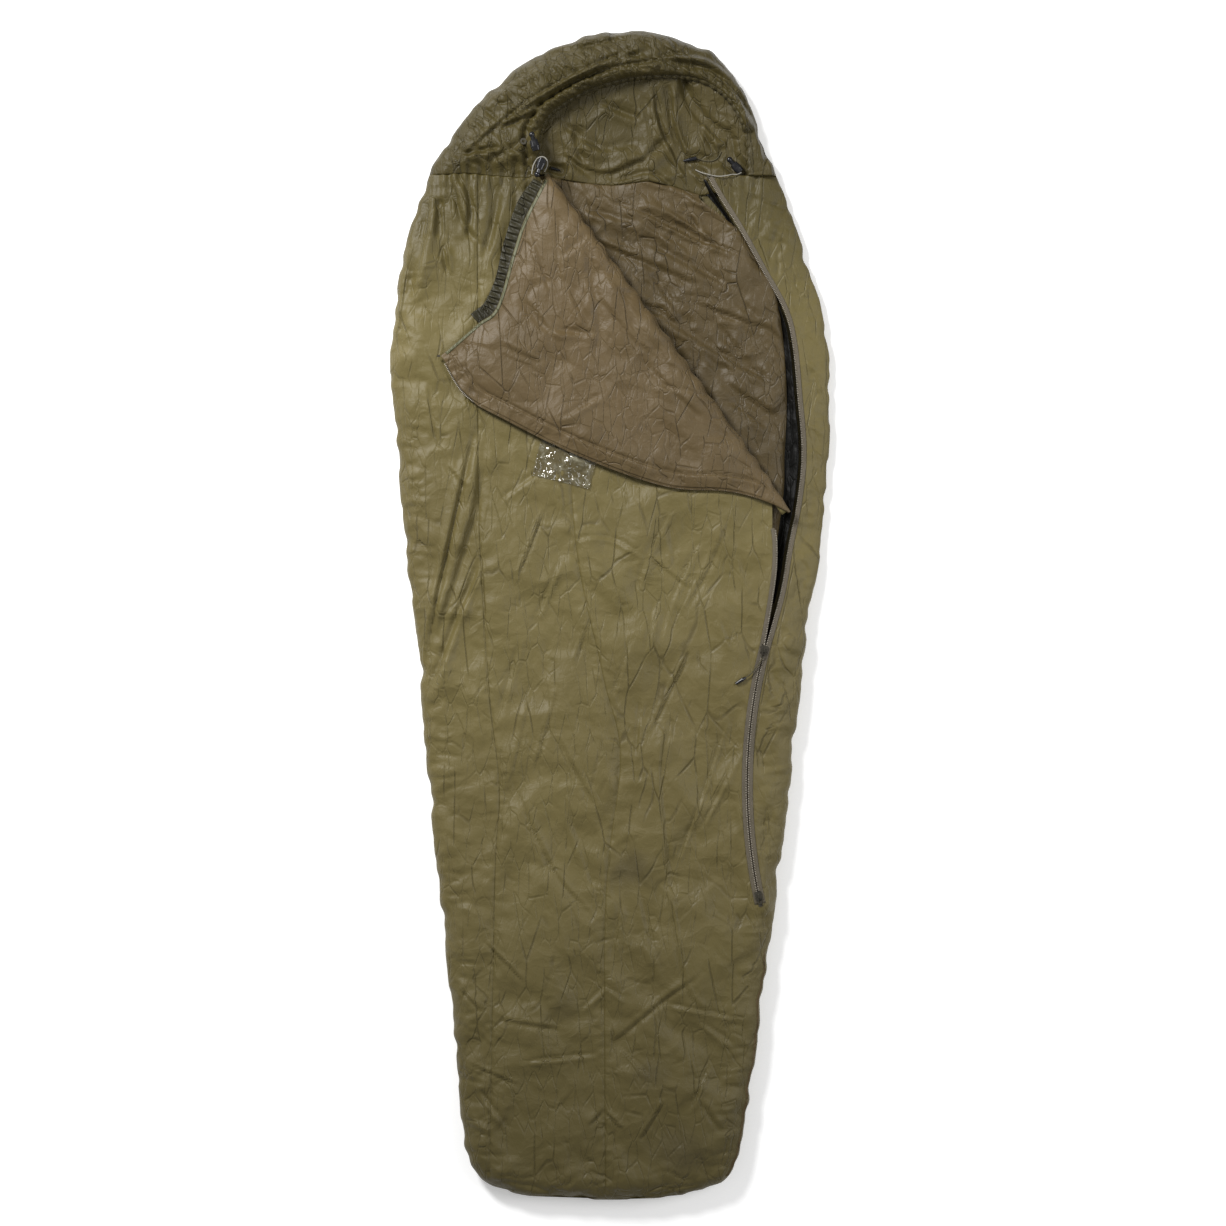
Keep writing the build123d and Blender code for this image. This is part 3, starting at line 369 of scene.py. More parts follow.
half = np.array([0.415, 1.1])
outlineShares = [
    (0.02, 1.002), (-0.28, 0.966), (-0.55, 0.898), (-0.76, 0.795), (-0.854, 0.727), (-0.954, 0.591),
    (-1.002, 0.43), (-0.973, 0.30), (-0.93, 0.10), (-0.882, -0.03), (-0.85, -0.193), (-0.80, -0.397),
    (-0.742, -0.602), (-0.69, -0.805), (-0.655, -0.925), (-0.50, -0.982), (-0.116, -1.002), (0.25, -0.997),
    (0.48, -0.976), (0.58, -0.925), (0.64, -0.805), (0.70, -0.63), (0.783, -0.397), (0.845, -0.193),
    (0.90, -0.01), (0.965, 0.14), (1.002, 0.39), (0.955, 0.53), (0.90, 0.60), (0.783, 0.727),
    (0.695, 0.81), (0.602, 0.898), (0.467, 0.963), (0.25, 0.992),
]
outline = np.clip(smoothCurve(np.array(outlineShares) * half, 800, closed=True), -half, half)
turning = np.linspace(0, 2 * math.pi, 800)
ruffleWaves = [(0.0022, 23, 0.4), (0.0016, 41, 2.0), (0.0013, 67, 1.1), (0.0011, 103, 3.0),
               (0.0008, 149, 0.2)]
ruffle = sum(size * np.sin(turning * turns + start) for size, turns, start in ruffleWaves)
ruffle = np.maximum(0, ruffle + 0.0016)
inwardStep = sideways(outline)[1]
outline = outline + inwardStep * ruffle[:, None]
outline[-1] = outline[0]
topPoint = outline[:, 1].argmax()
turned = np.roll(outline[:-1], -topPoint, axis=0)
footTurn = turned[:, 1].argmin()
leftSide, rightSide = turned[:footTurn + 1][::-1], np.vstack([turned[footTurn:], turned[:1]])


# The outline's left and right edges at a distance along the bag.
def leftOf(y): return np.interp(y, leftSide[:, 1], leftSide[:, 0])
def rightOf(y): return np.interp(y, rightSide[:, 1], rightSide[:, 0])


# A seam through shares of half the width and half the length, running from the foot up.
def seamLine(shares):
    line = smoothCurve(np.array(shares) * half, 160)
    return line[::-1] if line[0, 1] > line[-1, 1] else line


leftSeam = seamLine([(-0.597, 0.76), (-0.597, 0.50), (-0.59, 0.14), (-0.545, -0.13), (-0.50, -0.30),
                     (-0.52, -0.45), (-0.55, -1.05)])
centreSeam = seamLine([(-0.183, 0.76), (-0.183, 0.50), (-0.164, 0.143), (-0.034, -0.104), (0.043, -0.245),
                       (-0.024, -0.50), (-0.024, -1.05)])
neckLine = 0.8261
foldStart, foldEnd = np.array([-0.11703, 0.825]), np.array([0.33615, 0.19305])
foldLength = np.linalg.norm(foldEnd - foldStart)
foldAlong = (foldEnd - foldStart) / foldLength
foldAcross = np.array([-foldAlong[1], foldAlong[0]])

zipCentre, zipRadius = np.array([1.286298, -0.318703]), 1.030243
zipTop = np.array([0.2901, -0.0561])
startAngle = math.atan2(*(zipTop - zipCentre)[::-1])
closedLength = 0.4887
arcAngles = startAngle + np.linspace(closedLength, 0, 120) / zipRadius
closedZip = zipCentre + zipRadius * np.stack([np.cos(arcAngles), np.sin(arcAngles)], 1)
sideShares = [(0.765, 0.038), (0.80, 0.112), (0.845, 0.20), (0.863, 0.28), (0.845, 0.37), (0.822, 0.46),
              (0.782, 0.52), (0.684, 0.588), (0.578, 0.66), (0.482, 0.718), (0.441, 0.746)]
frontShares = [(0.732, 0.02), (0.752, 0.075), (0.755, 0.12), (0.748, 0.148)]
sideOpen = smoothCurve(np.vstack([closedZip[-2], zipTop, np.array(sideShares) * half]), 300)[1:]
frontOpen = smoothCurve(np.vstack([closedZip[-2], zipTop, np.array(frontShares) * half]), 90)[1:]
sideZip = np.vstack([closedZip, sideOpen[1:]])
frontZip = np.vstack([closedZip, frontOpen[1:]])
faceShares = [(-0.285, 0.70), (-0.318, 0.80), (-0.285, 0.846), (-0.205, 0.872), (-0.07, 0.898),
              (0.13, 0.916), (0.36, 0.916), (0.504, 0.891), (0.593, 0.844), (0.629, 0.79), (0.63, 0.70)]
faceEdge = smoothCurve(np.array(faceShares) * half, 300)

# the flap as it lies folded back, and where it lies closed
neckShares = [(-0.282, 0.75), (-0.386, 0.673), (-0.44, 0.614), (-0.513, 0.523), (-0.60, 0.494),
              (-0.77, 0.438)]
hemShares = [(-0.77, 0.438), (-0.66, 0.373), (-0.477, 0.332), (-0.137, 0.269), (0.246, 0.218),
             (0.518, 0.21), (0.675, 0.196), (0.81, 0.1755)]
neckEdge = smoothCurve(np.array(neckShares) * half, 120)
hemEdge = smoothCurve(np.array(hemShares) * half, 200)
flapRing = np.vstack([neckEdge, hemEdge[1:-1]])
foldSide = (flapRing - foldStart) @ foldAcross
closedRing = flapRing - 2 * foldSide[:, None] * foldAcross

room = {"closedFlap": 0.0372, "closedHood": 0.0366, "restingFlap": 0.0592}  # highest levels under the flap
zipEdge = 0.0075  # from the zip's centre line to the cloth's edge


# The zip side slumps towards the hood.
def sideLevel(y):
    return np.interp(y, [-0.04, 0.15], [0.0, -0.0255])


# Highest level that leaves room for the flap over a ring, rising away from it.
def ceilingOf(x, y, ring, low, reach):
    gap = nearest(x, y, np.vstack([ring, ring[:1]]))[0]
    gap = np.where(inside(x, y, ring), 0, gap)
    return low + np.maximum(0, gap - reach) * 1.1


# Room over the hood: below the closed flap, low beside the zip, and never above its own highest level.
def hoodRoom(x, y, highest):
    lowArm = 0.0375 + 0.09 * np.maximum(np.maximum(0, 0.222 - x) / 0.05, np.maximum(0, y - 0.905) / 0.06)
    return np.minimum(np.minimum(ceilingOf(x, y, closedRing, room["closedFlap"], 0.004), lowArm), highest)


# Smooth random heights on a square lattice, between -1 and 1.
def latticeNoise(x, y, cell, seed):
    table = np.random.default_rng(seed).uniform(-1, 1, (64, 64))
    u, v = x / cell + 17.3, y / cell + 9.1
    i, j = np.floor(u).astype(int), np.floor(v).astype(int)
    s, t = smooth(u - i), smooth(v - j)
    value = lambda a, b: table[(i + a) % 64, (j + b) % 64]
    return ((value(0, 0) * (1 - s) + value(1, 0) * s) * (1 - t) + (value(0, 1) * (1 - s) + value(1,
            1) * s) * t)


# Sharp crests where bent noise crosses zero, longer along one direction.
def ridges(x, y, cell, seed, lean=0.0, stretch=1.0):
    c, s = math.cos(lean), math.sin(lean)
    u, v = c * x + s * y, (c * y - s * x) / stretch
    u = u + 0.35 * cell * latticeNoise(x, y, cell * 1.7, seed + 1)
    v = v + 0.35 * cell * latticeNoise(x, y, cell * 1.4, seed + 2)
    noise = 0.65 * latticeNoise(u, v, cell, seed) + 0.35 * latticeNoise(u, v, cell * 0.5, seed + 3)
    return (1 - np.minimum(1, np.abs(noise) * 2.6)) ** 1.6


# Pulled folds along given lines: a crest on one side of each line and a hollow on the other,
# both fading out at its ends.
def strokes(x, y, lines, width, depth):
    total = np.zeros_like(x)
    for number, line in enumerate(lines):
        p = np.array(line, float)
        path = smoothCurve(p, 14) if len(p) > 2 else np.linspace(p[0], p[1], 4)
        near = (x > path[:, 0].min() - 4 * width) & (x < path[:, 0].max() + 4 * width) \
            & (y > path[:, 1].min() - 4 * width) & (y < path[:, 1].max() + 4 * width)
        if near.any():
            far, share, side = nearest(x[near], y[near], path)
            w = width * (0.7 + 0.6 * ((number * 7) % 5) / 4)
            fade = np.clip(np.minimum(share, 1 - share) * 5, 0, 1) ** 0.7
            sign = 1 if number % 2 else -1
            total[near] += depth * fade * (np.exp(-((side * sign - 0.75 * w) / w) ** 2) * 0.7
                                           - np.exp(-(side / (0.62 * w)) ** 2))
    return total


cloth = {"frontStep": 0.0091, "patchStep": 0.0095, "frames": 30, "bending": 12.0, "shrink": -0.08}


# Cloth pinned along its seams, cut too large for its frame and blown up a little.
# Returns its heights, scaled so that they spread by one.
def crumpledCloth(name, xs, ys, pins, seed):
    x, y = np.meshgrid(xs, ys)
    rng = np.random.default_rng(seed)
    z = 0.004 * np.sin(x * 37 + 3 * np.sin(y * 9)) * np.sin(y * 23 + 2 * np.sin(x * 11)) \
        + rng.normal(0, 0.0003, x.shape)
    rows, cols = x.shape
    mesh = bpy.data.meshes.new(name)
    mesh.from_pydata(np.stack([x, y, z], -1).reshape(-1, 3).tolist(), [], gridFaces(rows, cols).tolist())
    sheet = bpy.data.objects.new(name, mesh)
    bpy.context.scene.collection.objects.link(sheet)
    group = sheet.vertex_groups.new(name="pin")
    group.add(np.flatnonzero(pins(x, y).ravel()).tolist(), 1.0, "REPLACE")
    modifier = sheet.modifiers.new("cloth", "CLOTH")
    settings = modifier.settings
    settings.vertex_group_mass = "pin"
    settings.quality, settings.mass = 4, 0.15
    settings.tension_stiffness = settings.compression_stiffness = 12
    settings.shear_stiffness, settings.bending_stiffness = 4, cloth["bending"]
    settings.air_damping, settings.shrink_min = 4, cloth["shrink"]
    settings.use_pressure, settings.uniform_pressure_force = True, 0.6
    settings.effector_weights.gravity = 0
    modifier.collision_settings.use_collision = False
    for number in range(1, cloth["frames"]):
        bpy.context.scene.frame_set(number)
    settled = sheet.evaluated_get(bpy.context.evaluated_depsgraph_get()).to_mesh()
    places = np.empty(rows * cols * 3, np.float32)
    settled.vertices.foreach_get("co", places)
    heights = places.reshape(rows, cols, 3)[..., 2].astype(float)
    bpy.data.objects.remove(sheet)
    bpy.context.scene.frame_set(1)
    heights = np.clip(heights - np.median(heights), -0.012, 0.014)
    return heights / heights.std()


# Four-sided faces between neighbours of a grid of points.
def gridFaces(rows, cols):
    i = np.arange(rows * cols).reshape(rows, cols)
    return np.stack([i[:-1, :-1], i[:-1, 1:], i[1:, 1:], i[1:, :-1]], -1).reshape(-1, 4)


# Heights of the settled cloth at any points, blended between its own.
def sampled(heights, xs, ys, x, y):
    u = np.clip((x - xs[0]) / (xs[1] - xs[0]), 0, len(xs) - 1.001)
    v = np.clip((y - ys[0]) / (ys[1] - ys[0]), 0, len(ys) - 1.001)
    i, j = np.floor(u).astype(int), np.floor(v).astype(int)
    s, t = u - i, v - j
    return ((heights[j, i] * (1 - s) + heights[j, i + 1] * s) * (1 - t)
            + (heights[j + 1, i] * (1 - s) + heights[j + 1, i + 1] * s) * t)


frontXs, frontYs = np.arange(-0.43, 0.4301, cloth["frontStep"]), np.arange(-1.12, 0.8501,
        cloth["frontStep"])
patchXs = patchYs = np.arange(-0.5, 0.5001, cloth["patchStep"])


# Where the simulated front is held: its rim, its seams, the fold and beside the zip.
def frontPins(x, y):
    rim = (x < leftOf(y) + 0.012) | (x > rightOf(y) - 0.012) | (np.abs(y) > 1.09)
    seams = (np.abs(x - np.interp(y, leftSeam[:, 1], leftSeam[:, 0])) < 0.0046) \
        | (np.abs(x - np.interp(y, centreSeam[:, 1], centreSeam[:, 0])) < 0.0046)
    beyond = (np.stack([x, y], -1) - foldStart) @ foldAcross > -0.02
    zipSide = x > np.interp(y, sideZip[:, 1], sideZip[:, 0]) - 0.01
    return rim | seams | beyond | (zipSide & (y > -0.55) & (x < np.interp(y, sideZip[:, 1],
            sideZip[:, 0]) + 0.01))


frontHeights = crumpledCloth("frontCloth", frontXs, frontYs, frontPins, 4)
print("front cloth settled")
patchHeights = crumpledCloth("patchCloth", patchXs, patchYs,
                             lambda x, y: (np.abs(x) > 0.49) | (np.abs(y) > 0.49)
                             | (np.abs(x - 0.13 + 0.1 * np.sin(4 * y)) < 0.005), 9)
print("patch cloth settled")

def frontRelief(x, y):
    return sampled(frontHeights, frontXs, frontYs, x, y)

def patchRelief(x, y):
    fold = lambda v: np.abs((v + 0.48) % 1.92 - 0.96) - 0.48  # mirrored repeats have no joins
    return sampled(patchHeights, patchXs, patchYs, fold(x), fold(y))


# The settled patch, turned, moved and enlarged.
def turnedRelief(x, y, angle, dx, dy, zoom=1.0):
    c, s = math.cos(angle), math.sin(angle)
    return patchRelief((c * x - s * y) * zoom + dx, (s * x + c * y) * zoom + dy)


# meshes
def link(name, mesh, material):
    piece = bpy.data.objects.new(name, mesh)
    bpy.context.scene.collection.objects.link(piece)
    piece.data.materials.append(material)
    piece.data.polygons.foreach_set("use_smooth", np.ones(len(piece.data.polygons), bool))
    piece.data.update()
    return piece


# Mesh piece from points and faces.
def meshOf(name, points, faces, material):
    mesh = bpy.data.meshes.new(name)
    mesh.from_pydata(points.tolist(), [], faces.tolist())
    return link(name, mesh, material)


# Faces turned so that the volume they enclose is positive.
def outward(points, faces):
    a, b, c, d = (points[faces[:, k]] for k in range(4))
    volume = (np.einsum("ij,ij->i", a, np.cross(b, c)) + np.einsum("ij,ij->i", a, np.cross(c, d))).sum()
    return faces if volume > 0 else faces[:, ::-1]


# Two grids of points, one over the other, joined round their rims into a closed piece.
def closedShell(name, top, bottom, material):
    rows, cols = top.shape[:2]
    count = rows * cols
    i = np.arange(count).reshape(rows, cols)
    faces = gridFaces(rows, cols)
    rim = np.r_[i[0, :], i[1:, -1], i[-1, -2::-1], i[-2:0:-1, 0]]
    after = np.roll(rim, -1)
    wall = np.stack([rim, rim + count, after + count, after], 1)
    points = np.vstack([top.reshape(-1, 3), bottom.reshape(-1, 3)])
    every = np.vstack([faces, faces[:, ::-1] + count, wall])
    return meshOf(name, points, outward(points, every), material)


# Closed piece between a top and a bottom level over the same plan points.
def layer(name, x, y, top, bottom, material):
    return closedShell(name, np.stack([x, y, top], -1), np.stack([x, y, bottom + 0 * x], -1), material)


# A grid of points given a thickness below its own surface.
def thinShell(name, grid, thickness, material):
    across, along = np.gradient(grid, axis=1), np.gradient(grid, axis=0)
    normal = np.cross(across, along)
    normal /= np.maximum(np.linalg.norm(normal, axis=2), 1e-12)[..., None]
    if normal[..., 2].mean() < 0:
        normal = -normal
    return closedShell(name, grid, grid - normal * thickness, material)


# Shares from 0 to 1 that lie closer together near an edge; fine is how many of them take up share.
def spacing(count, fine, share, ends="both"):
    bend = share * (1 - np.cos(np.linspace(0, math.pi / 2, fine)))
    if ends == "both":
        return np.r_[bend, np.linspace(share, 1 - share, count)[1:-1], (1 - bend)[::-1]]
    if ends == "start":
        return np.r_[bend, np.linspace(share, 1, count)[1:]]
    if ends == "end":
        return np.r_[np.linspace(0, 1 - share, count)[:-1], (1 - bend)[::-1]]
    return np.linspace(0, 1, count)


# Plan points in rows, at shares between a left and a right edge.
def rowGrid(left, right, ys, shares):
    x = left[:, None] + shares[None, :] * (right - left)[:, None]
    return x, np.repeat(ys[:, None], len(shares), axis=1)


# Tells the frame which body a piece belongs to, and hides the CAD nodes it stands for.
def finished(piece, body, nodes=()):
    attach(piece, body)
    if nodes:
        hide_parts(*nodes)
    return piece


# the front, from the foot to the neck
front = {"zipLevel": 0.0590, "level": 0.0572, "seamLevel": 0.026, "edgeRound": 0.055, "wrinkle": 0.0026,
         "row": 0.0042, "seamDip": 0.0020, "foldWidth": 0.011, "foldDepth": 0.0095, "creaseWidth": 0.0062,
         "creaseDepth": 0.0046}
deepFolds = [[(-0.254, 0.347), (-0.297, 0.159), (-0.335, -0.019), (-0.357, -0.159)],
             [(-0.245, 0.103), (-0.267, 0.047), (-0.291, -0.009), (-0.338, -0.141)],
             [(-0.237, 0.328), (-0.248, 0.216), (-0.286, 0.075), (-0.327, -0.047)],
             [(-0.301, 0.83), (-0.276, 0.736), (-0.245, 0.693)], [(-0.32, 0.787), (-0.323, 0.703)],
             [(-0.314, 0.693), (-0.306, 0.637)], [(-0.278, 0.823), (-0.263, 0.768), (-0.267, 0.703)],
             [(-0.342, 0.778), (-0.357, 0.684), (-0.379, 0.59)],
             [(-0.366, 0.703), (-0.387, 0.59), (-0.398, 0.497)],
             [(-0.205, 0.82), (-0.215, 0.75), (-0.24, 0.66)],
             [(-0.225, 0.60), (-0.25, 0.48), (-0.262, 0.38)]]
pullLines = [[(-0.095, -0.131), (-0.145, -0.3)], [(-0.1, -0.231), (-0.025, -0.367)],
             [(0.113, -0.195), (0.097, -0.292), (0.115, -0.523)],
             [(-0.19, -0.292), (-0.112, -0.47), (-0.031, -0.568)],
             [(0.222, 0.174), (0.183, 0.084), (0.141, 0.007)],
             [(0.216, -0.201), (0.168, -0.347), (0.119, -0.476)], [(0.067, 0.109), (0.113, 0.197)],
             [(0.067, 0.109), (0.044, 0.037)],
             [(-0.065, 0.142), (-0.031, 0.148), (0.01, 0.141), (0.067, 0.109)],
             [(0.067, 0.109), (0.149, 0.047)], [(-0.123, 0.197), (-0.17, 0.075)],
             [(-0.095, 0.103), (-0.141, -0.009)], [(0.108, 0.178), (0.123, 0.084)],
             [(0.168, 0.141), (0.115, 0.028), (0.093, -0.047)], [(-0.207, 0.216), (-0.132, 0.272)],
             [(0.037, -0.047), (0.003, -0.159)], [(0.149, -0.066), (0.074, -0.225)],
             [(0.083, 0.028), (0.065, -0.075)], [(-0.038, -0.009), (-0.067, -0.094)],
             [(-0.17, -0.047), (-0.211, -0.197)], [(-0.151, -0.159), (-0.185, -0.309)],
             [(0.055, -0.159), (0.046, -0.272)], [(0.243, 0.103), (0.271, 0.028)],
             [(0.252, -0.234), (0.168, -0.403)], [(0.205, -0.009), (0.233, -0.066)],
             [(-0.237, -0.611), (-0.156, -0.693)], [(-0.171, -0.836), (-0.022, -0.821)],
             [(0.007, -0.802), (0.097, -0.725), (0.168, -0.675)], [(0.097, -0.725), (0.241, -0.755)],
             [(-0.01, -0.693), (-0.057, -0.74)], [(-0.01, -0.693), (0.029, -0.721)],
             [(0.018, -0.543), (0.003, -0.647)], [(0.055, -0.515), (0.083, -0.647)],
             [(0.102, -0.497), (0.14, -0.693), (0.177, -0.74)], [(-0.085, -0.347), (-0.02, -0.543)],
             [(-0.263, -0.843), (-0.17, -0.881)], [(-0.245, -0.89), (-0.188, -0.965)],
             [(-0.207, -0.759), (-0.095, -0.778)], [(0.018, -0.806), (0.074, -0.862)],
             [(0.168, -0.909), (0.205, -0.965)], [(0.102, -0.909), (0.055, -0.984)],
             [(-0.291, -0.693), (-0.245, -0.74)], [(0.168, -0.759), (0.233, -0.806)],
             [(0.183, -0.843), (0.149, -0.928)], [(-0.012, -0.928), (-0.038, -0.956)],
             [(-0.012, -0.928), (0.022, -0.965)], [(-0.38, 0.30), (-0.36, 0.21)],
             [(-0.31, 0.28), (-0.27, 0.235)], [(-0.34, 0.43), (-0.33, 0.33)]]


# Gathers beside the neck seam, which fade with the distance from it, and the dip of the seam itself.
def neckGathers(x, away, reach):
    away = np.maximum(0, away)
    wave = np.sin(x * 2 * math.pi / 0.021 + 2.5 * latticeNoise(x, 0 * x, 0.06, 5))
    return 0.0036 * np.exp(-away / reach) * wave - 0.0022 * np.exp(-away / 0.009)


# Quarter-ellipse edges round a padded top, dips along the seams, crumpled cloth and pulled folds.
def frontHeight(x, y):
    inset = nearest(x, y, outline)[0]
    edge = np.clip(inset / front["edgeRound"], 0, 1)
    lift = np.sqrt(np.maximum(0, 1 - (1 - edge) ** 2))
    near = smooth(inset / 0.03)
    level = front["level"] - front["seamLevel"]
    ripple = ridges(x, y, 0.022, 31, lean=math.pi / 2, stretch=3.0) * np.exp(-((inset - 0.03) / 0.035) ** 2)
    z = front["seamLevel"] + level * lift
    nearSeam = near
    near = near * smooth(np.maximum(0, neckLine - y) / 0.03)  # hood and front meet at one level
    z += near * front["wrinkle"] * frontRelief(x, y)
    z -= near * 0.0014 * ridges(x, y, 0.09, 41, lean=0.5, stretch=1.8)
    z += near * 0.0009 * latticeNoise(x, y, 0.02, 8) * smooth((-y - 0.45) / 0.3)
    z -= 0.0028 * ripple * smooth(inset / 0.012)
    for seam in (leftSeam, centreSeam):
        off = x - np.interp(y, seam[:, 1], seam[:, 0])
        pucker = 0.5 + 0.5 * np.sin(y * 2 * math.pi / 0.017 + 3 * latticeNoise(x, y, 0.05, 77))
        stitched = np.exp(-(off / 0.0032) ** 2) + 0.35 * pucker * np.exp(-(off / 0.011) ** 2)
        z -= near * front["seamDip"] * stitched
    z += near * strokes(x, y, deepFolds, front["foldWidth"], front["foldDepth"])
    z += near * strokes(x, y, pullLines, front["creaseWidth"], front["creaseDepth"])
    return z + nearSeam * neckGathers(x, neckLine - y, 0.05)


# Nothing of the front comes up through the flap that lies on it.
def belowFlap(x, y, z):
    return softUnder(z, np.minimum(ceilingOf(x, y, flapRing, room["restingFlap"], 0.004), 0.066), 0.0008)


# The cloth comes down to the zip's tape along the zip.
def zipDip(x, y, z, zipPath, level):
    gap = nearest(x, y, zipPath)[0]
    mix = smooth((gap - 0.008) / 0.022)
    return level * (1 - mix) + z * mix


rows = np.r_[-1.1 + 0.05 * (1 - np.cos(np.linspace(0.06, math.pi / 2, 22))),
             np.arange(-1.05 + front["row"], neckLine - 0.0008, front["row"]), neckLine - 0.0001]
foldBack = 0.016 / foldAcross[0]  # the front ends this far short of the fold
foldAt = lambda y: np.interp(y, [foldEnd[1], foldStart[1]], [foldEnd[0], foldStart[0]]) - foldBack
joinX = np.interp(rows, [-0.64, -0.5401], [rightOf(-0.64), 0.2801])
zipX = np.interp(rows, frontZip[:, 1], frontZip[:, 0])
rightLimit = np.where(rows < -0.64, rightOf(rows), np.where(rows < closedZip[0, 1], joinX, zipX - zipEdge))
blendUp = smooth((rows - closedZip[0, 1]) / 0.03)
rightLimit = np.where((rows >= closedZip[0, 1]), joinX * (1 - blendUp) + (zipX - zipEdge) * blendUp,
                      rightLimit)
foldLimit = np.where(rows > 0.14, np.minimum(foldAt(rows), zipX - zipEdge), 9)
rightLimit = np.minimum(rightLimit, foldLimit)
leftX = np.interp(rows, leftSeam[:, 1], leftSeam[:, 0])
centreX = np.interp(rows, centreSeam[:, 1], centreSeam[:, 0])


# The neck seam wanders a little up and down.
def neckBend(x, y):
    return y + (0.0045 * np.sin(x * 17 + 1.2) + 0.003 * latticeNoise(x, 0 * x, 0.05, 19) - 0.003) \
        * np.exp(-(np.abs(y - neckLine) / 0.03) ** 2) * smooth((-x - 0.13) / 0.03)


# One panel of the front between two edges, with its underside a little above the lining.
def frontPanel(name, left, right, keep, shares, nodes):
    x, y = rowGrid(left[keep], right[keep], rows[keep], shares)
    y = neckBend(x, y)
    z = frontHeight(x, y)
    z = np.where(x > 0.12, zipDip(x, y, z, frontZip, front["zipLevel"] + 0 * x), z)
    z = belowFlap(x, y, z)
    inset = nearest(x, y, outline)[0]
    under = 0.0255 + (0.0415 - 0.0255) * smooth((inset - 0.018) / 0.02)
    under = np.minimum(under, z - 0.0008)
    return finished(layer(name, x, y, z, under, shellFabric), "bag", nodes)


leftRight = np.maximum(leftX, leftOf(rows) + 0.0015)
frontPanel("frontLeftShell", leftOf(rows) + 0.0002, np.minimum(leftRight, rightLimit - 0.003), rows < 9,
           spacing(34, 13, 0.30, "start"), ["front_left_panel", "left_side_batting"])
keepMiddle = (rightLimit - leftRight) > 0.004
frontPanel("frontMiddleShell", leftRight, np.minimum(np.maximum(centreX, leftRight + 0.0015), rightLimit),
           keepMiddle, spacing(52, 4, 0.02), ["front_middle_panel", "front_batting"])
keepRight = (rightLimit - centreX) > 0.004
frontPanel("frontRightShell", centreX, rightLimit, keepRight, spacing(66, 11, 0.14, "end"),
           ["front_right_panel", "foot_panel", "foot_batting", "right_hip_batting"])
print("front ready")

# the strip beyond the zip, slumped towards the hood
sideRows = rows[(rows > -0.638)]
sideZipX = np.interp(sideRows, sideZip[:, 1], sideZip[:, 0])
sideJoin = np.interp(sideRows, [-0.64, -0.5401], [rightOf(-0.64), 0.2801])
sideUp = smooth((sideRows - closedZip[0, 1]) / 0.03)
sideLeft = np.where(sideRows < closedZip[0, 1], sideJoin,
                    sideJoin * (1 - sideUp) + (sideZipX + zipEdge) * sideUp)
x, y = rowGrid(sideLeft, rightOf(sideRows) - 0.0002, sideRows, spacing(26, 12, 0.36, "end"))
drop = sideLevel(y)
inset = nearest(x, y, outline)[0]
z = frontHeight(x, y)
seamZ = front["seamLevel"] + 0.35 * drop
loft = (front["level"] + drop - 0.001 - seamZ) / (front["level"] - front["seamLevel"])
z = seamZ + (z - front["seamLevel"]) * loft
z += 0.0020 * smooth(inset / 0.02) * ridges(x, y, 0.03, 52, lean=0.9, stretch=2.5) * smooth((y + 0.1) / 0.2)
z -= 0.0035 * smooth(inset / 0.02) * ridges(x, y, 0.02, 53, -0.25, 4.0) * smooth((y - 0.5) / 0.2)
z = zipDip(x, y, z, sideZip, front["zipLevel"] + drop)
roof = ceilingOf(x, y, closedRing, room["closedFlap"], 0.002) + 9 * (y < 0.13)
z = softUnder(z, np.minimum(roof, 0.066), 0.0008)
under = np.minimum(0.0235 + 0 * x, z - 0.0008)
sideShell = layer("sideShell", x, y, z, under, shellFabric)
finished(sideShell, "bag", ["right_side_panel", "right_side_batting", "right_wall_panel"])

# the base
baseRows = np.r_[-1.1 + 0.05 * (1 - np.cos(np.linspace(0.06, math.pi / 2, 16))),
                 np.arange(-1.043, 1.045, 0.0075),
                 1.1 - 0.05 * (1 - np.cos(np.linspace(math.pi / 2, 0.06, 16)))]
x, y = rowGrid(leftOf(baseRows) + 0.0002, rightOf(baseRows) - 0.0002, baseRows, spacing(70, 11, 0.08))
inset = nearest(x, y, outline)[0]
rightSideDrop = np.where(x > 0, 0.35 * sideLevel(y), 0)
seamZ = front["seamLevel"] - 0.0005 + rightSideDrop
curl = np.sqrt(np.maximum(0, 1 - (1 - np.clip(inset / 0.03, 0, 1)) ** 2))
under = (0.0006 + (seamZ - 0.0006) * (1 - curl)
         + 0.0012 * curl * (0.5 + 0.5 * latticeNoise(x, y, 0.035, 4)) * smooth(inset / 0.02))
top = np.maximum(np.minimum(seamZ, 0.0195 + 0 * x), under + 0.0008)
baseShell = layer("baseShell", x, y, top, under, shellFabric)
finished(baseShell, "bag", ["base_shell", "base_batting"])
print("side and base ready")

# linings inside the bag
inner = {"floor": 0.0197, "level": 0.0262, "wrinkle": 0.0030, "foldWidth": 0.010, "foldDepth": 0.0085}
innerFolds = [[(0.003, 0.796), (0.13, 0.731), (0.271, 0.665)], [(-0.029, 0.703), (0.168, 0.618)],
              [(0.055, 0.712), (0.243, 0.609)], [(0.149, 0.778), (0.177, 0.703)],
              [(0.055, 0.59), (0.205, 0.497)], [(0.149, 0.59), (0.299, 0.534)],
              [(0.168, 0.515), (0.299, 0.44)], [(0.205, 0.44), (0.318, 0.365)],
              [(0.074, 0.647), (0.149, 0.534)], [(0.243, 0.59), (0.327, 0.506)],
              [(0.224, 0.403), (0.299, 0.347)], [(0.10, 0.76), (0.20, 0.70)],
              [(-0.05, 0.78), (0.06, 0.74)], [(0.20, 0.55), (0.26, 0.47)]]
gapShares = [(0.40, 0.745), (0.53, 0.69), (0.66, 0.615), (0.745, 0.56), (0.775, 0.50), (0.795, 0.42),
             (0.80, 0.35), (0.79, 0.27), (0.78, 0.19), (0.70, 0.0)]
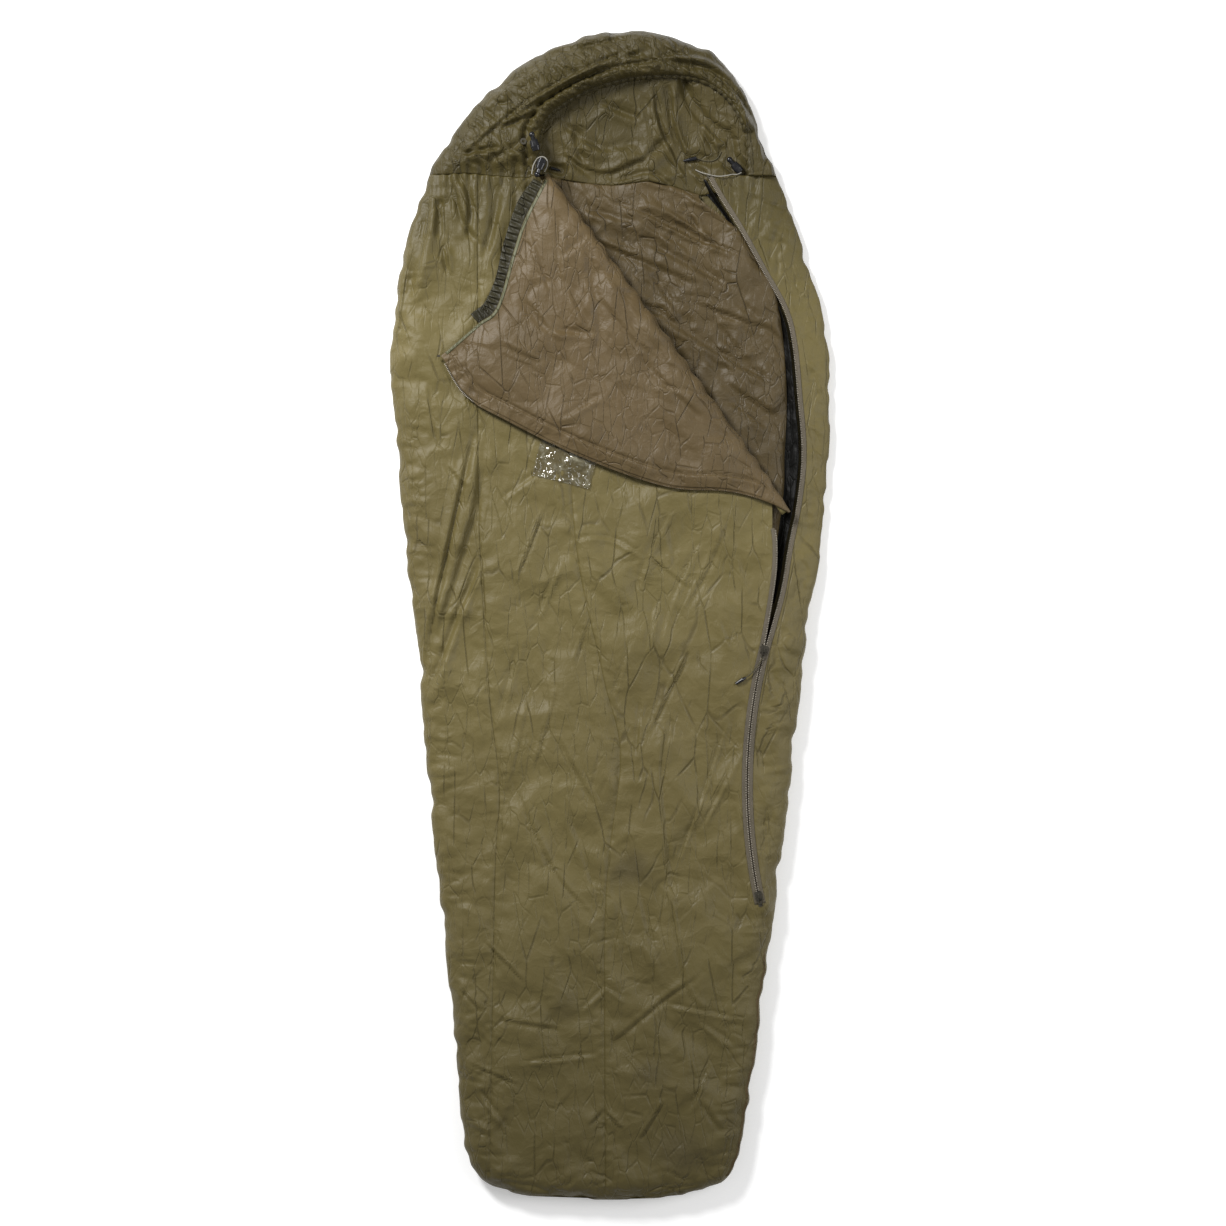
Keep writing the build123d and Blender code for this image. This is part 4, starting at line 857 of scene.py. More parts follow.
gapEdge = smoothCurve(np.array(gapShares) * half, 120)


# The seam between body lining and hood lining sags towards the foot on its way to the zip.
def liningBend(x, y):
    sag = np.interp(x, [-0.13, -0.057, 0.003, 0.074, 0.11, 0.168, 0.22, 0.27],
                    [0, 0.012, 0.018, 0.011, 0.018, 0.036, 0.03, 0])
    return y - sag * np.exp(-(np.abs(y - neckLine) / 0.09) ** 2)


liningRows = np.r_[np.arange(-1.04, 0.05, 0.02), np.arange(0.05, neckLine, 0.0045), neckLine - 0.0001]
liningRight = np.where(liningRows > 0.0, np.interp(liningRows, gapEdge[::-1, 1], gapEdge[::-1, 0]),
                       rightOf(liningRows) - 0.035)
x, y = rowGrid(leftOf(liningRows) + 0.033, liningRight, liningRows, spacing(120, 8, 0.03, "end"))
edgeGap = nearest(x, liningBend(x, y), gapEdge)[0]
z = inner["level"] + inner["wrinkle"] * turnedRelief(x, y, 0.6, 0.1, -0.3)
z += strokes(x, y, innerFolds, inner["foldWidth"], inner["foldDepth"])
z += (0.0055 * ridges(x, y, 0.05, 61, lean=1.05, stretch=2.6)
      + 0.0042 * ridges(x, y, 0.028, 62, lean=0.75, stretch=2.0))
z += 0.004 * np.exp(-((edgeGap - 0.03) / 0.022) ** 2) * (y > 0.05)
z -= 0.0030 * np.exp(-np.maximum(0, neckLine - y) / 0.006)
y = liningBend(x, y)
roll = np.clip(edgeGap / 0.014, 0, 1)
z = np.where(y > 0.05, 0.0208 + (z - 0.0208) * np.sqrt(1 - (1 - roll) ** 2), z)
z = softUnder(np.maximum(z, 0.0205), room["closedHood"], 0.0012)
bodyLining = layer("bodyLining", x, y, z, inner["floor"], innerFabric)
finished(bodyLining, "bag", ["base_lining"])

# gap between the lining and the zip, with its padded tube coloured near-black as painted shadow of the deep
# gap
zipInner = evenly(sideOpen[(sideOpen[:, 1] > 0.02)], 150)
gapInner = evenly(gapEdge[::-1][(gapEdge[::-1, 1] > 0.02)], 150)
share = np.linspace(0, 1, 15)
along, left = sideways(zipInner)
outerLine = zipInner + left * 0.0045
grid = gapInner[:, None, :] * (1 - share)[None, :, None] + outerLine[:, None, :] * share[None, :, None]
x, y = grid[..., 0] - 0.012 * (1 - share)[None, :], grid[..., 1]
z = 0.0202 + 0.0105 * smooth((share[None, :] - 0.45) / 0.55) + 0.0014 * latticeNoise(x, y, 0.016, 5) + 0 * x
gapTube = layer("sideGap", x, y, z, 0.0190, gapFabric)
finished(gapTube, "bag", ["side_draft_tube"])

x, y = rowGrid(leftOf(rows)[::4] + 0.034, rightLimit[::4] - 0.003, rows[::4], np.linspace(0, 1, 40))
keep = (rows[::4] > -1.06) & (rightLimit[::4] - leftOf(rows)[::4] > 0.06)
x, y = x[keep], y[keep]
z = 0.0402 + 0.0007 * latticeNoise(x, y, 0.04, 6)
frontLining = layer("frontLining", x, y, z, z - 0.001, liningFabric)
finished(frontLining, "bag", ["front_lining"])
print("linings ready")

# hood: a padded ring round the face opening
hood = {"level": 0.0735, "brimWidth": 0.024, "wrinkle": 0.0036, "foldWidth": 0.010, "foldDepth": 0.0085}
hoodFolds = [[(-0.263, 0.871), (-0.132, 0.974), (0.055, 1.068)],
             [(-0.291, 0.843), (-0.17, 0.937), (-0.02, 1.021), (0.074, 1.059)],
             [(-0.245, 0.834), (-0.132, 0.909), (-0.095, 0.956)],
             [(-0.17, 1.04), (-0.038, 1.068), (0.055, 1.087)],
             [(-0.095, 1.003), (-0.001, 1.04), (0.074, 1.049)], [(-0.207, 0.909), (-0.123, 0.946)],
             [(0.055, 1.04), (0.168, 1.049), (0.243, 1.003)],
             [(0.093, 1.031), (0.168, 1.021), (0.233, 0.974)], [(-0.291, 0.86), (-0.207, 0.875)],
             [(-0.32, 0.871), (-0.245, 0.946)], [(0.233, 1.003), (0.271, 0.909)],
             [(0.252, 0.965), (0.29, 0.853)], [(-0.36, 0.845), (-0.25, 0.96), (-0.13, 1.03)]]
ring = leftSide[leftSide[:, 1] > neckLine]
ringRight = rightSide[::-1][rightSide[::-1][:, 1] > neckLine]
ringRight = ringRight[ringRight[:, 1].argsort()[::-1]]
outerRing = evenly(np.vstack([[leftOf(neckLine), neckLine], ring, ringRight,
                              [rightOf(neckLine), neckLine]]), 300)
faceTop = faceEdge[(faceEdge[:, 1] > neckLine)]
faceRing = evenly(np.vstack([[np.interp(neckLine, faceEdge[:60, 1], faceEdge[:60, 0]), neckLine], faceTop,
                             [faceTop[-1, 0], neckLine]]), 300)
v = spacing(44, 11, 0.16, "start")
grid = outerRing[:, None, :] * (1 - v)[None, :, None] + faceRing[:, None, :] * v[None, :, None]
x, y = grid[..., 0], neckBend(grid[..., 0], grid[..., 1])
inset = nearest(x, y, outline)[0]
toFace = np.linalg.norm(grid - faceRing[:, None, :], axis=2)
lift = np.sqrt(np.maximum(0, 1 - (1 - np.clip(inset / 0.06, 0, 1)) ** 2))
rimDrop = np.where(x > 0, 0.35 * sideLevel(y), 0)
seamZ = front["seamLevel"] + rimDrop
level = 0.0575 + (hood["level"] - 0.0575) * smooth((y - neckLine) / 0.07)
z = seamZ + (level - seamZ) * lift
nearSeam = smooth(inset / 0.03)
near = nearSeam * smooth(np.maximum(0, y - neckLine) / 0.03)
z += near * hood["wrinkle"] * turnedRelief(x, y, -0.7, 0.2, 0.1)
z -= near * 0.0060 * ridges(x, y, 0.045, 71, lean=-0.75, stretch=0.3)
z += near * strokes(x, y, hoodFolds, hood["foldWidth"], hood["foldDepth"])
z -= 0.010 * np.exp(-((toFace - hood["brimWidth"] - 0.004) / 0.006) ** 2) * smooth((y - neckLine) / 0.03)
pucker = np.sin(np.linspace(0, 2 * math.pi * 42, 300)
                + 4 * latticeNoise(np.linspace(0, 3, 300), 0 * faceRing[:, 0], 0.2, 3))
z += 0.0016 * pucker[:, None] * np.exp(-(toFace / 0.03) ** 2)
z += nearSeam * neckGathers(x, y - neckLine, 0.04)
brimShape = np.clip(1 - toFace / hood["brimWidth"], 0, 1)
z = z - (z - 0.046) * (1 - np.sqrt(np.maximum(0, 1 - brimShape ** 2))) * 0.9
z = softUnder(z, hoodRoom(x, y, 0.088), 0.0015)
z = np.maximum(z, np.minimum(seamZ, 0.0235))
under = np.minimum(0.0225 + 0 * x, z - 0.0008)
hoodShell = layer("hoodShell", x, y, z, under, hoodFabric)
finished(hoodShell, "bag", ["hood_panel", "hood_batting"])
hoodZ = z

# brim: a rolled hem round the face opening, with its drawcord inside
along, left = sideways(faceRing)
inward = -left if ((faceRing[150] + left[150] * 0.05)[1] > faceRing[150, 1]) else left
rimZ = hoodZ[:, -1]
rollAngle = np.linspace(-0.15, 1.25, 16) * math.pi
radius = (0.0065 + 0.0012 * pucker)[:, None]
rollHeight = np.minimum(rimZ, 0.052)[:, None]
gx = faceRing[:, None, :] + inward[:, None, :] * (radius * np.sin(rollAngle)[None, :] - 0.003)[..., None]
gz = rollHeight - 0.004 + radius * np.cos(rollAngle)[None, :]
gz = np.maximum(softUnder(gz, hoodRoom(gx[..., 0], gx[..., 1], 0.09), 0.0012), 0.0215)
skirt = np.linspace(0, 1, 8)[1:]
endXY, endZ = gx[:, -1], gz[:, -1]
skirtXY = endXY[:, None, :] - inward[:, None, :] * (0.012 * skirt)[None, :, None]
skirtZ = endZ[:, None] * (1 - skirt) + 0.0216 * skirt
brimGrid = np.concatenate([np.concatenate([gx, gz[..., None]], -1),
                           np.concatenate([skirtXY, skirtZ[..., None]], -1)], 1)
hoodBrim = thinShell("hoodBrim", brimGrid, 0.0010, brimFabric)
finished(hoodBrim, "bag", ["hood_brim", "hood_drawcord"])

# hood lining inside the face opening
faceFolds = [[(0.083, 1.012), (0.093, 0.928), (0.149, 0.843)],
             [(0.108, 1.003), (0.121, 0.909), (0.168, 0.834)],
             [(-0.095, 0.928), (-0.02, 0.89), (0.055, 0.9)],
             [(-0.095, 0.871), (-0.02, 0.843), (0.074, 0.871)], [(0.055, 0.853), (0.112, 0.909)],
             [(0.168, 0.928), (0.215, 0.871)], [(-0.02, 0.965), (0.055, 0.937)],
             [(-0.067, 0.909), (-0.048, 0.853)], [(-0.001, 0.834), (0.074, 0.843), (0.13, 0.819)]]
outFace = faceRing - inward * 0.012
v = np.linspace(0, 1, 64)
bottomLine = np.stack([np.linspace(outFace[0, 0], outFace[-1, 0], 300), np.full(300, neckLine + 0.0001)], 1)
grid = outFace[:, None, :] * (1 - v)[None, :, None] + bottomLine[:, None, :] * v[None, :, None]
x, y = grid[..., 0], grid[..., 1]
toFace = nearest(x, y, faceRing)[0]
z = 0.0265 + 0.016 * np.exp(-toFace / 0.05) * smooth((y - 0.86) / 0.08)
z += 0.0026 * turnedRelief(x, y, 0.9, -0.1, 0.2) + strokes(x, y, faceFolds, 0.011, 0.0085)
z += 0.0045 * ridges(x, y, 0.05, 81, lean=0.3, stretch=1.6)
slit = smoothCurve([(0.136, 1.005), (0.153, 0.965), (0.187, 0.931), (0.209, 0.918), (0.224, 0.909),
                    (0.229, 0.871)], 40)
z -= 0.016 * np.exp(-(nearest(x, y, slit)[0] / 0.009) ** 2)
z -= 0.0030 * np.exp(-np.maximum(0, y - neckLine) / 0.006)
y = liningBend(x, y)
endLine = np.array([[0.134, 0.853], [0.166, 0.860], [0.185, 0.854], [0.206, 0.860], [0.212, 0.872]])
lockLine = np.array([[0.2475, 0.832], [0.227, 0.853]])
shortLine = np.array([[-0.0945, 0.8365], [-0.1115, 0.841]])
tieLine = np.array([[0.160, 0.838], [0.172, 0.832]])
hollow = np.minimum(np.minimum(nearest(x, y, endLine)[0] - 0.006, nearest(x, y, lockLine)[0] - 0.013),
                    np.minimum(nearest(x, y, shortLine)[0] - 0.006, nearest(x, y, tieLine)[0] - 0.005))
z = softUnder(np.maximum(z, 0.0206), np.minimum(ceilingOf(x, y, closedRing, room["closedHood"], 0.004),
              room["closedHood"] + 0.05 * np.maximum(0, y - 0.9)), 0.0012)
z = np.minimum(z, 0.0209 + 0.9 * np.maximum(0, hollow))
hoodLining = layer("hoodLining", x, y, z, inner["floor"], faceFabric)
finished(hoodLining, "bag", ["hood_lining"])
print("hood ready")

# flap, folded back: fold coordinates run along the fold and away from it
flap = {"under": 0.0608, "rim": 0.0655, "edge": 0.0685, "top": 0.0775, "ceiling": 0.0818, "wrinkle": 0.0022,
        "foldWidth": 0.009, "foldDepth": 0.0050}
flapFolds = [[(-0.151, 0.731), (-0.11, 0.59)], [(-0.095, 0.75), (-0.098, 0.609)],
             [(-0.048, 0.703), (-0.02, 0.534), (-0.038, 0.478)], [(-0.02, 0.59), (0.055, 0.497)],
             [(-0.076, 0.609), (-0.038, 0.534)], [(0.008, 0.665), (0.046, 0.534), (0.074, 0.478)],
             [(-0.123, 0.534), (-0.02, 0.525)], [(-0.17, 0.59), (-0.095, 0.506)],
             [(-0.095, 0.365), (-0.02, 0.412)], [(0.055, 0.478), (0.168, 0.365)],
             [(0.083, 0.431), (0.205, 0.403)], [(-0.207, 0.506), (-0.132, 0.469)],
             [(-0.067, 0.75), (-0.02, 0.693), (0.018, 0.609), (0.093, 0.525)],
             [(-0.038, 0.712), (-0.095, 0.665)], [(0.055, 0.572), (0.149, 0.455)],
             [(0.149, 0.455), (0.252, 0.309)]]


# Distances along the fold and across it.
def foldCoordinates(points):
    return (points - foldStart) @ foldAlong, (points - foldStart) @ foldAcross


neckAlong, neckAcross = foldCoordinates(neckEdge)
hemAlong, hemAcross = foldCoordinates(hemEdge)
farthest = hemAcross.argmin()
rowAcross = np.r_[np.linspace(-0.016, -0.355, 84), np.linspace(-0.355, neckAcross.min() + 0.0035, 7)[1:]]
rowStart = np.interp(-rowAcross, -neckAcross, neckAlong)
rowEnd = np.interp(-rowAcross, -hemAcross[farthest:][::-1], hemAlong[farthest:][::-1])
rowEnd = np.minimum(rowEnd, np.interp(-rowAcross, [0.0, 0.03], [foldLength - 0.002, foldLength]))


# Plan points from distances along and across the fold.
def flapPlace(a, b):
    p = foldStart + a[..., None] * foldAlong + b[..., None] * foldAcross
    return p[..., 0], p[..., 1]


# How padded the flap is: thin at its edges and where the fold ends.
def flapLoft(x, y):
    toEdge = np.minimum(nearest(x, y, neckEdge)[0], nearest(x, y, hemEdge)[0])
    return smooth(toEdge / 0.045), toEdge


shares = spacing(120, 6, 0.03)
a = rowStart[:, None] + shares[None, :] * (rowEnd - rowStart)[:, None]
b = np.repeat(rowAcross[:, None], len(shares), axis=1)
x, y = flapPlace(a, b)
loft, toEdge = flapLoft(x, y)
toHem = nearest(x, y, hemEdge)[0]
hemSeam = np.exp(-((toHem - 0.030) / 0.0028) ** 2)
flapTop = flap["edge"] + (flap["top"] - flap["edge"]) * loft
flapTop += smooth(toEdge / 0.02) * flap["wrinkle"] * turnedRelief(x, y, 0.25, 0.05, 0.35)
flapTop += strokes(x, y, flapFolds, flap["foldWidth"], flap["foldDepth"]) * loft
flapTop -= 0.0032 * loft * ridges(x, y, 0.06, 91, lean=0.9, stretch=2.4)
flapTop -= 0.0026 * hemSeam * smooth((toEdge - 0.004) / 0.01)
ripple = np.sin(nearest(x, y, hemEdge)[1] * 2 * math.pi * 31 + 3 * latticeNoise(x, y, 0.05, 7))
flapTop += 0.0011 * ripple * np.exp(-((toHem - 0.018) / 0.014) ** 2)
roundEdge = np.sqrt(np.maximum(0, 1 - (1 - np.clip(toEdge / 0.006, 0, 1)) ** 2))
flapTop = flap["rim"] + (flapTop - flap["rim"]) * np.maximum(roundEdge, 0.12)
flapTop = np.maximum(softUnder(flapTop, flap["ceiling"], 0.0006), 0.0664)
flapUnder = flap["under"] + 0.0024 * (0.5 + 0.5 * latticeNoise(x, y, 0.05, 13)) * loft
flapUnder += 0.0016 * (1 - roundEdge)
flapBody = layer("flapShell", x, y, np.minimum(flapTop - 0.0014, 0.0800), flapUnder, shellFabric)
finished(flapBody, "flap", ["flap_shell", "flap_batting"])

# lining of the flap, carried on round the fold to the front's own lining
rollAcross = np.array([-0.030, -0.016, -0.007, -0.001, 0.0035, 0.0050, 0.0045, 0.0015, -0.004, -0.011])
rollShare = np.array([0.0, 0.0, 0.06, 0.18, 0.36, 0.52, 0.68, 0.84, 0.95, 1.0])
a0 = shares * foldLength
narrow = smooth(np.minimum(a0 + 0.004, foldLength - a0 + 0.004) / 0.09)
wobble = 0.0022 * np.sin(a0 * 2 * math.pi / 0.052 + 4 * latticeNoise(a0, 0 * a0, 0.11, 17)) * narrow
rollA, rollB, rollZ = [], [], []
firstTop = flapTop[0]
for across, part in zip(rollAcross[2:], rollShare[2:]):
    rollA.append(a0)
    rollB.append(across * (0.35 + 0.65 * narrow) + wobble * math.sin(part * math.pi))
    rollZ.append(firstTop * (1 - part) + 0.0402 * part)
rollA, rollB, rollZ = np.array(rollA[::-1]), np.array(rollB[::-1]), np.array(rollZ[::-1])
allA, allB = np.vstack([rollA, a]), np.vstack([rollB, b])
allZ = np.vstack([rollZ, flapTop])
fx, fy = flapPlace(allA, allB)
flapLining = thinShell("flapLining", np.stack([fx, fy, allZ], -1), 0.0011, liningFabric)
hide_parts("flap_lining")
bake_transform(flapLining)

# shell fabric in the fold itself
share = np.array([[-0.0158, 0.0600], [-0.008, 0.0601], [-0.001, 0.06022], [-0.001, 0.06038],
                  [-0.008, 0.0605], [-0.0158, 0.0607]])
a0 = np.linspace(0.004, foldLength - 0.004, 90)
a1, b1 = np.meshgrid(a0, share[:, 0])
z1 = np.repeat(share[:, 1][:, None], 90, axis=1)
fx, fy = flapPlace(a1, b1)
foldStrip = thinShell("foldShell", np.stack([fx, fy, z1], -1), 0.00005, shellFabric)
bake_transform(foldStrip)


# Height of the flap's lining at plan points, read off its own grid.
def flapSurface(x, y):
    a, b = (x - foldStart[0]) * foldAlong[0] + (y - foldStart[1]) * foldAlong[1], \
        (x - foldStart[0]) * foldAcross[0] + (y - foldStart[1]) * foldAcross[1]
    r = np.interp(-b, -rowAcross, np.arange(len(rowAcross)))
    s = np.clip((a - np.interp(r, np.arange(len(rowAcross)), rowStart))
                / (np.interp(r, np.arange(len(rowAcross)), rowEnd - rowStart)), 0, 1)
    c = np.interp(s, shares, np.arange(len(shares)))
    i, j = np.clip(r.astype(int), 0, len(rowAcross) - 2), np.clip(c.astype(int), 0, len(shares) - 2)
    u, w = r - i, c - j
    return ((flapTop[i, j] * (1 - w) + flapTop[i, j + 1] * w) * (1 - u)
            + (flapTop[i + 1, j] * (1 - w) + flapTop[i + 1, j + 1] * w) * u)


# Narrow strip between two distances to the left of a path; height gives its level at plan points.
def strip(name, path, inner, outer, height, thickness, material, count=7, wave=0.0):
    along, left = sideways(path)
    offsets = np.linspace(inner, outer, count)
    grid = path[:, None, :2] + left[:, None, :] * offsets[None, :, None]
    x, y = grid[..., 0], grid[..., 1]
    z = height(x, y) + wave * latticeNoise(x, y, 0.012, 3)
    return thinShell(name, np.stack([x, y, z], -1), thickness, material)


inHem = hemEdge[4:-16]
facing = strip("flapFacing", inHem, 0.0045, 0.0285, lambda x, y: flapSurface(x, y) + 0.0005, 0.0006,
               liningFabric, 10)
finished(facing, "flap", ["flap_facing"])
binding = strip("flapBinding", neckEdge[3:-4], 0.0005, 0.0058,
                lambda x, y: flapSurface(x, y) + 0.0009, 0.0030, bindingFabric, 6, 0.0003)
finished(binding, "flap", ["flap_binding"])

# gathered collar beside the flap's neck edge, coloured dark as painted shadow of that edge
collarPath = evenly(neckEdge[6:92], 260)
along, left = sideways(collarPath)
offsets = np.linspace(0.002, -0.027, 12)
run = np.linspace(0, pathLength(collarPath), 260)
pleat = np.sin(run * 2 * math.pi / 0.0125 + 2.2 * latticeNoise(run, 0 * run, 0.03, 21))
width = 0.75 + 0.25 * latticeNoise(run, 0 * run, 0.07, 22)
grid = collarPath[:, None, :] + left[:, None, :] * (offsets[None, :, None] * width[:, None, None])
fade = np.clip(-offsets / 0.03, 0, 1)
grid += along[:, None, :] * (0.0022 * pleat[:, None] * fade[None, :])[..., None]
z = (0.0645 + 0.0022 * pleat[:, None] * np.sin(np.pi * np.clip(fade, 0.1, 0.9))[None, :]
     - 0.0022 * fade[None, :])
collar = thinShell("flapCollar", np.concatenate([grid, z[..., None]], -1), 0.0007, collarFabric)
finished(collar, "flap", ["flap_collar"])
print("flap ready")


# zip
zipSizes = {"teethLevel": 0.0592, "tapeLevel": 0.0599, "flapTeethLevel": 0.0662, "flapTapeLevel": 0.0650,
            "pitch": 0.0032, "toothInner": 0.0009, "toothOuter": 0.0037, "toothHeight": 0.0024,
            "tapeOuter": 0.0102}


# One small rounded tooth, repeated at even steps along the path.
def teethAlong(name, path, inner, outer, levels, shift=0.0):
    count = int(pathLength(path) / zipSizes["pitch"])
    run = np.r_[0, np.cumsum(np.linalg.norm(np.diff(path, axis=0), axis=1))]
    at = (np.arange(count) + 0.5 + shift) * zipSizes["pitch"]
    centre = np.stack([np.interp(at, run, path[:, 0]), np.interp(at, run, path[:, 1])], 1)
    level = np.interp(at, run, levels)
    along, left = sideways(centre)
    ringShape = np.array([(-0.5, 0.25), (-0.28, 0.5), (0.28, 0.5), (0.5, 0.25), (0.5, -0.25), (0.28, -0.5),
                          (-0.28, -0.5), (-0.5, -0.25)])
    long = 0.62 * zipSizes["pitch"]
    base = []
    for offset, size in ((inner, 0.82), (inner + 0.25 * (outer - inner), 1.0), (outer, 0.86)):
        base.append(np.column_stack([np.full(8, offset), ringShape[:, 0] * long * size,
                                     ringShape[:, 1] * zipSizes["toothHeight"] * size]))
    base = np.vstack(base)
    i = np.arange(8)
    j = (i + 1) % 8
    faces = [np.stack([i + 8 * k, j + 8 * k, j + 8 * k + 8, i + 8 * k + 8], 1) for k in range(2)]
    cap = lambda s: np.array([[s, s + 1, s + 2, s + 3], [s, s + 3, s + 4, s + 7],
                              [s + 4, s + 5, s + 6, s + 7]])
    faces = np.vstack(faces + [cap(0)[:, ::-1], cap(16)])
    points = (centre[:, None, :] + left[:, None, :] * base[None, :, :1]
              + along[:, None, :] * base[None, :, 1:2])
    z = level[:, None] + base[None, :, 2]
    places = np.concatenate([points, z[..., None]], -1)
    one = outward(places[0] - places[0].mean(0), faces)
    every = (one[None] + 24 * np.arange(count)[:, None, None]).reshape(-1, 4)
    return meshOf(name, places.reshape(-1, 3), every, toothPlastic)


sideTeeth = teethAlong("zipTeethSide", sideZip, -zipSizes["toothInner"], -zipSizes["toothOuter"],
                       zipSizes["teethLevel"] + sideLevel(sideZip[:, 1]), 0.5)
finished(sideTeeth, "bag", ["zip_teeth_side"])
frontTeeth = teethAlong("zipTeethFront", frontZip, zipSizes["toothInner"], zipSizes["toothOuter"],
                        zipSizes["teethLevel"] + 0 * frontZip[:, 1])
finished(frontTeeth, "bag", ["zip_teeth_front"])
tapeLeft = strip("zipTapeFront", frontZip, 0.0034, zipSizes["tapeOuter"],
                 lambda x, y: zipSizes["tapeLevel"] + 0 * x, 0.0008, tapeFabric, 6, 0.0002)
finished(tapeLeft, "bag", ["zip_tape_front"])
tapeRight = strip("zipTapeSide", sideZip, -0.0034, -zipSizes["tapeOuter"],
                  lambda x, y: zipSizes["tapeLevel"] + sideLevel(y), 0.0008, tapeFabric, 6, 0.0002)
finished(tapeRight, "bag", ["zip_tape_side"])
flapTeeth = teethAlong("flapZipTeeth", inHem, 0.0008, 0.0036, zipSizes["flapTeethLevel"] + 0 * inHem[:, 0])
finished(flapTeeth, "flap", ["flap_zip_teeth"])
flapTape = strip("flapZipTape", inHem, 0.0034, 0.0100, lambda x, y: zipSizes["flapTapeLevel"] + 0 * x,
                 0.0008, tapeFabric, 5)
finished(flapTape, "flap", ["flap_zip_tape"])
draft = strip("frontDraftTube", closedZip, -0.0085, 0.0085, lambda x, y: 0.0545 + 0 * x, 0.010,
              liningFabric, 8)
finished(draft, "bag", ["front_draft_tube"])
print("zip ready")

# clear film patch
film = {"centre": (-0.0851, 0.2827), "size": (0.110, 0.070), "turn": -14.0}
u, w = np.meshgrid(np.linspace(-0.5, 0.5, 90), np.linspace(-0.5, 0.5, 60))
turn = math.radians(film["turn"])
fu, fw = u * film["size"][0], w * film["size"][1]
x = film["centre"][0] + fu * math.cos(turn) - fw * math.sin(turn)
y = film["centre"][1] + fu * math.sin(turn) + fw * math.cos(turn)
under = softUnder(belowFlap(x, y, frontHeight(x, y)), 0.0585, 0.0006)
z = (under + 0.0010 + 0.0030 * ridges(x, y, 0.017, 101, lean=0.4, stretch=1.5)
     + 0.0012 * ridges(x, y, 0.008, 102))
covered = smooth((nearest(x, y, hemEdge)[0] - 0.004) / 0.01) * (~inside(x, y, flapRing))
z = np.where(covered > 0.5, z, np.minimum(z, 0.0600))
z = np.minimum(z, 0.0635)
filmMaterial, filmShader, filmPlace = newMaterial("clearFilm")
haze = noiseOn(filmPlace, 60.0, 4.0).between(0.45, 0.7)
filmBump = filmPlace.make("ShaderNodeBump", {},
                          {"Strength": 1.0, "Distance": 0.0006, "Height": noiseOn(filmPlace, 90.0, 4.0)})
filmColour = mixColour(filmPlace, haze, linear((96, 87, 60)), linear((150, 146, 124)))
filmMaterial.node_tree.links.new(filmColour.socket, filmShader.inputs["Base Color"])
filmMaterial.node_tree.links.new((0.06 + haze * 0.10).socket, filmShader.inputs["Roughness"])
filmMaterial.node_tree.links.new(filmBump.socket, filmShader.inputs["Normal"])
filmMaterial.node_tree.links.new((0.30 + haze * 0.25).socket, filmShader.inputs["Alpha"])
filmShader.inputs["Specular IOR Level"].default_value = 0.9
filmShader.inputs["Coat Weight"].default_value = 0.6
filmPatch = thinShell("filmPatch", np.stack([x, y, z], -1), 0.0003, filmMaterial)
finished(filmPatch, "bag", ["film_patch"])


# cords
def cordCurve(name, points, diameter, material, body, nodes):
    data = bpy.data.curves.new(name, "CURVE")
    data.dimensions = "3D"
    spline = data.splines.new("NURBS")
    spline.points.add(len(points) - 1)
    for point, place in zip(spline.points, points):
        point.co = (*place, 1)
    spline.order_u = 3
    spline.use_endpoint_u = True
    data.bevel_depth = diameter / 2
    data.bevel_resolution = 3
    data.resolution_u = 10
    data.use_fill_caps = True
    data.materials.append(material)
    piece = bpy.data.objects.new(name, data)
    bpy.context.scene.collection.objects.link(piece)
    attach(piece, body)
    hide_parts(*nodes)
    return piece


# Point of the closed zip's arc at a distance from its top.
def zipPoint(travel):
    angle = startAngle + travel / zipRadius
    return zipCentre + zipRadius * np.array([math.cos(angle), math.sin(angle)])


pullEnd = zipPoint(0.0251)
cordCurve("pullCord", [(pullEnd[0] + dx, pullEnd[1] + dy, 0.06375) for dx, dy in
          [(0, 0), (-0.005, -0.010), (-0.0135, -0.020), (-0.0215, -0.0305), (-0.031, -0.0365)]],
          0.0024, oliveCord, "upper_pull", ["upper_pull_cord"])
loopTurn, loopMiddle = math.radians(250), (-0.12948, 0.8404)
cordCurve("neckCordLoop", [(loopMiddle[0] + v * math.cos(loopTurn) - u * math.sin(loopTurn),
                            loopMiddle[1] + v * math.sin(loopTurn) + u * math.cos(loopTurn),
                            0.07955) for u, v in [(-0.010, 0.023), (-0.0125, 0.013), (-0.0125, 0.001),
                                                  (-0.0095, -0.0105), (0, -0.0155), (0.0095, -0.0105),
                                                  (0.0125, 0.0005), (0.0105, 0.011)]], 0.0025, greyCord,
          "bag", ["neck_cord_loop"])
head, lockPlace = (0.183015, 0.8206), (0.238, 0.84095)
cordCurve("neckTieCord",
          [(head[0] + dx, head[1] + dy, z) for dx, dy, z in
           [(-0.023, 0.0175, 0.0223), (-0.016, 0.0135, 0.0253), (-0.009, 0.010, 0.0311),
            (-0.001, 0.0075, 0.0366), (0.009, 0.0045, 0.0366), (0.022, 0.003, 0.0366),
            (0.035, 0.0045, 0.0366)]]
          + [(lockPlace[0] + dx, lockPlace[1] + dy, z) for dx, dy, z in
             [(-0.008, -0.013, 0.0366), (0.001, -0.014, 0.0356), (0.0078, -0.0092, 0.0311)]],
          0.0020, greyCord, "bag", ["neck_tie_cord"])
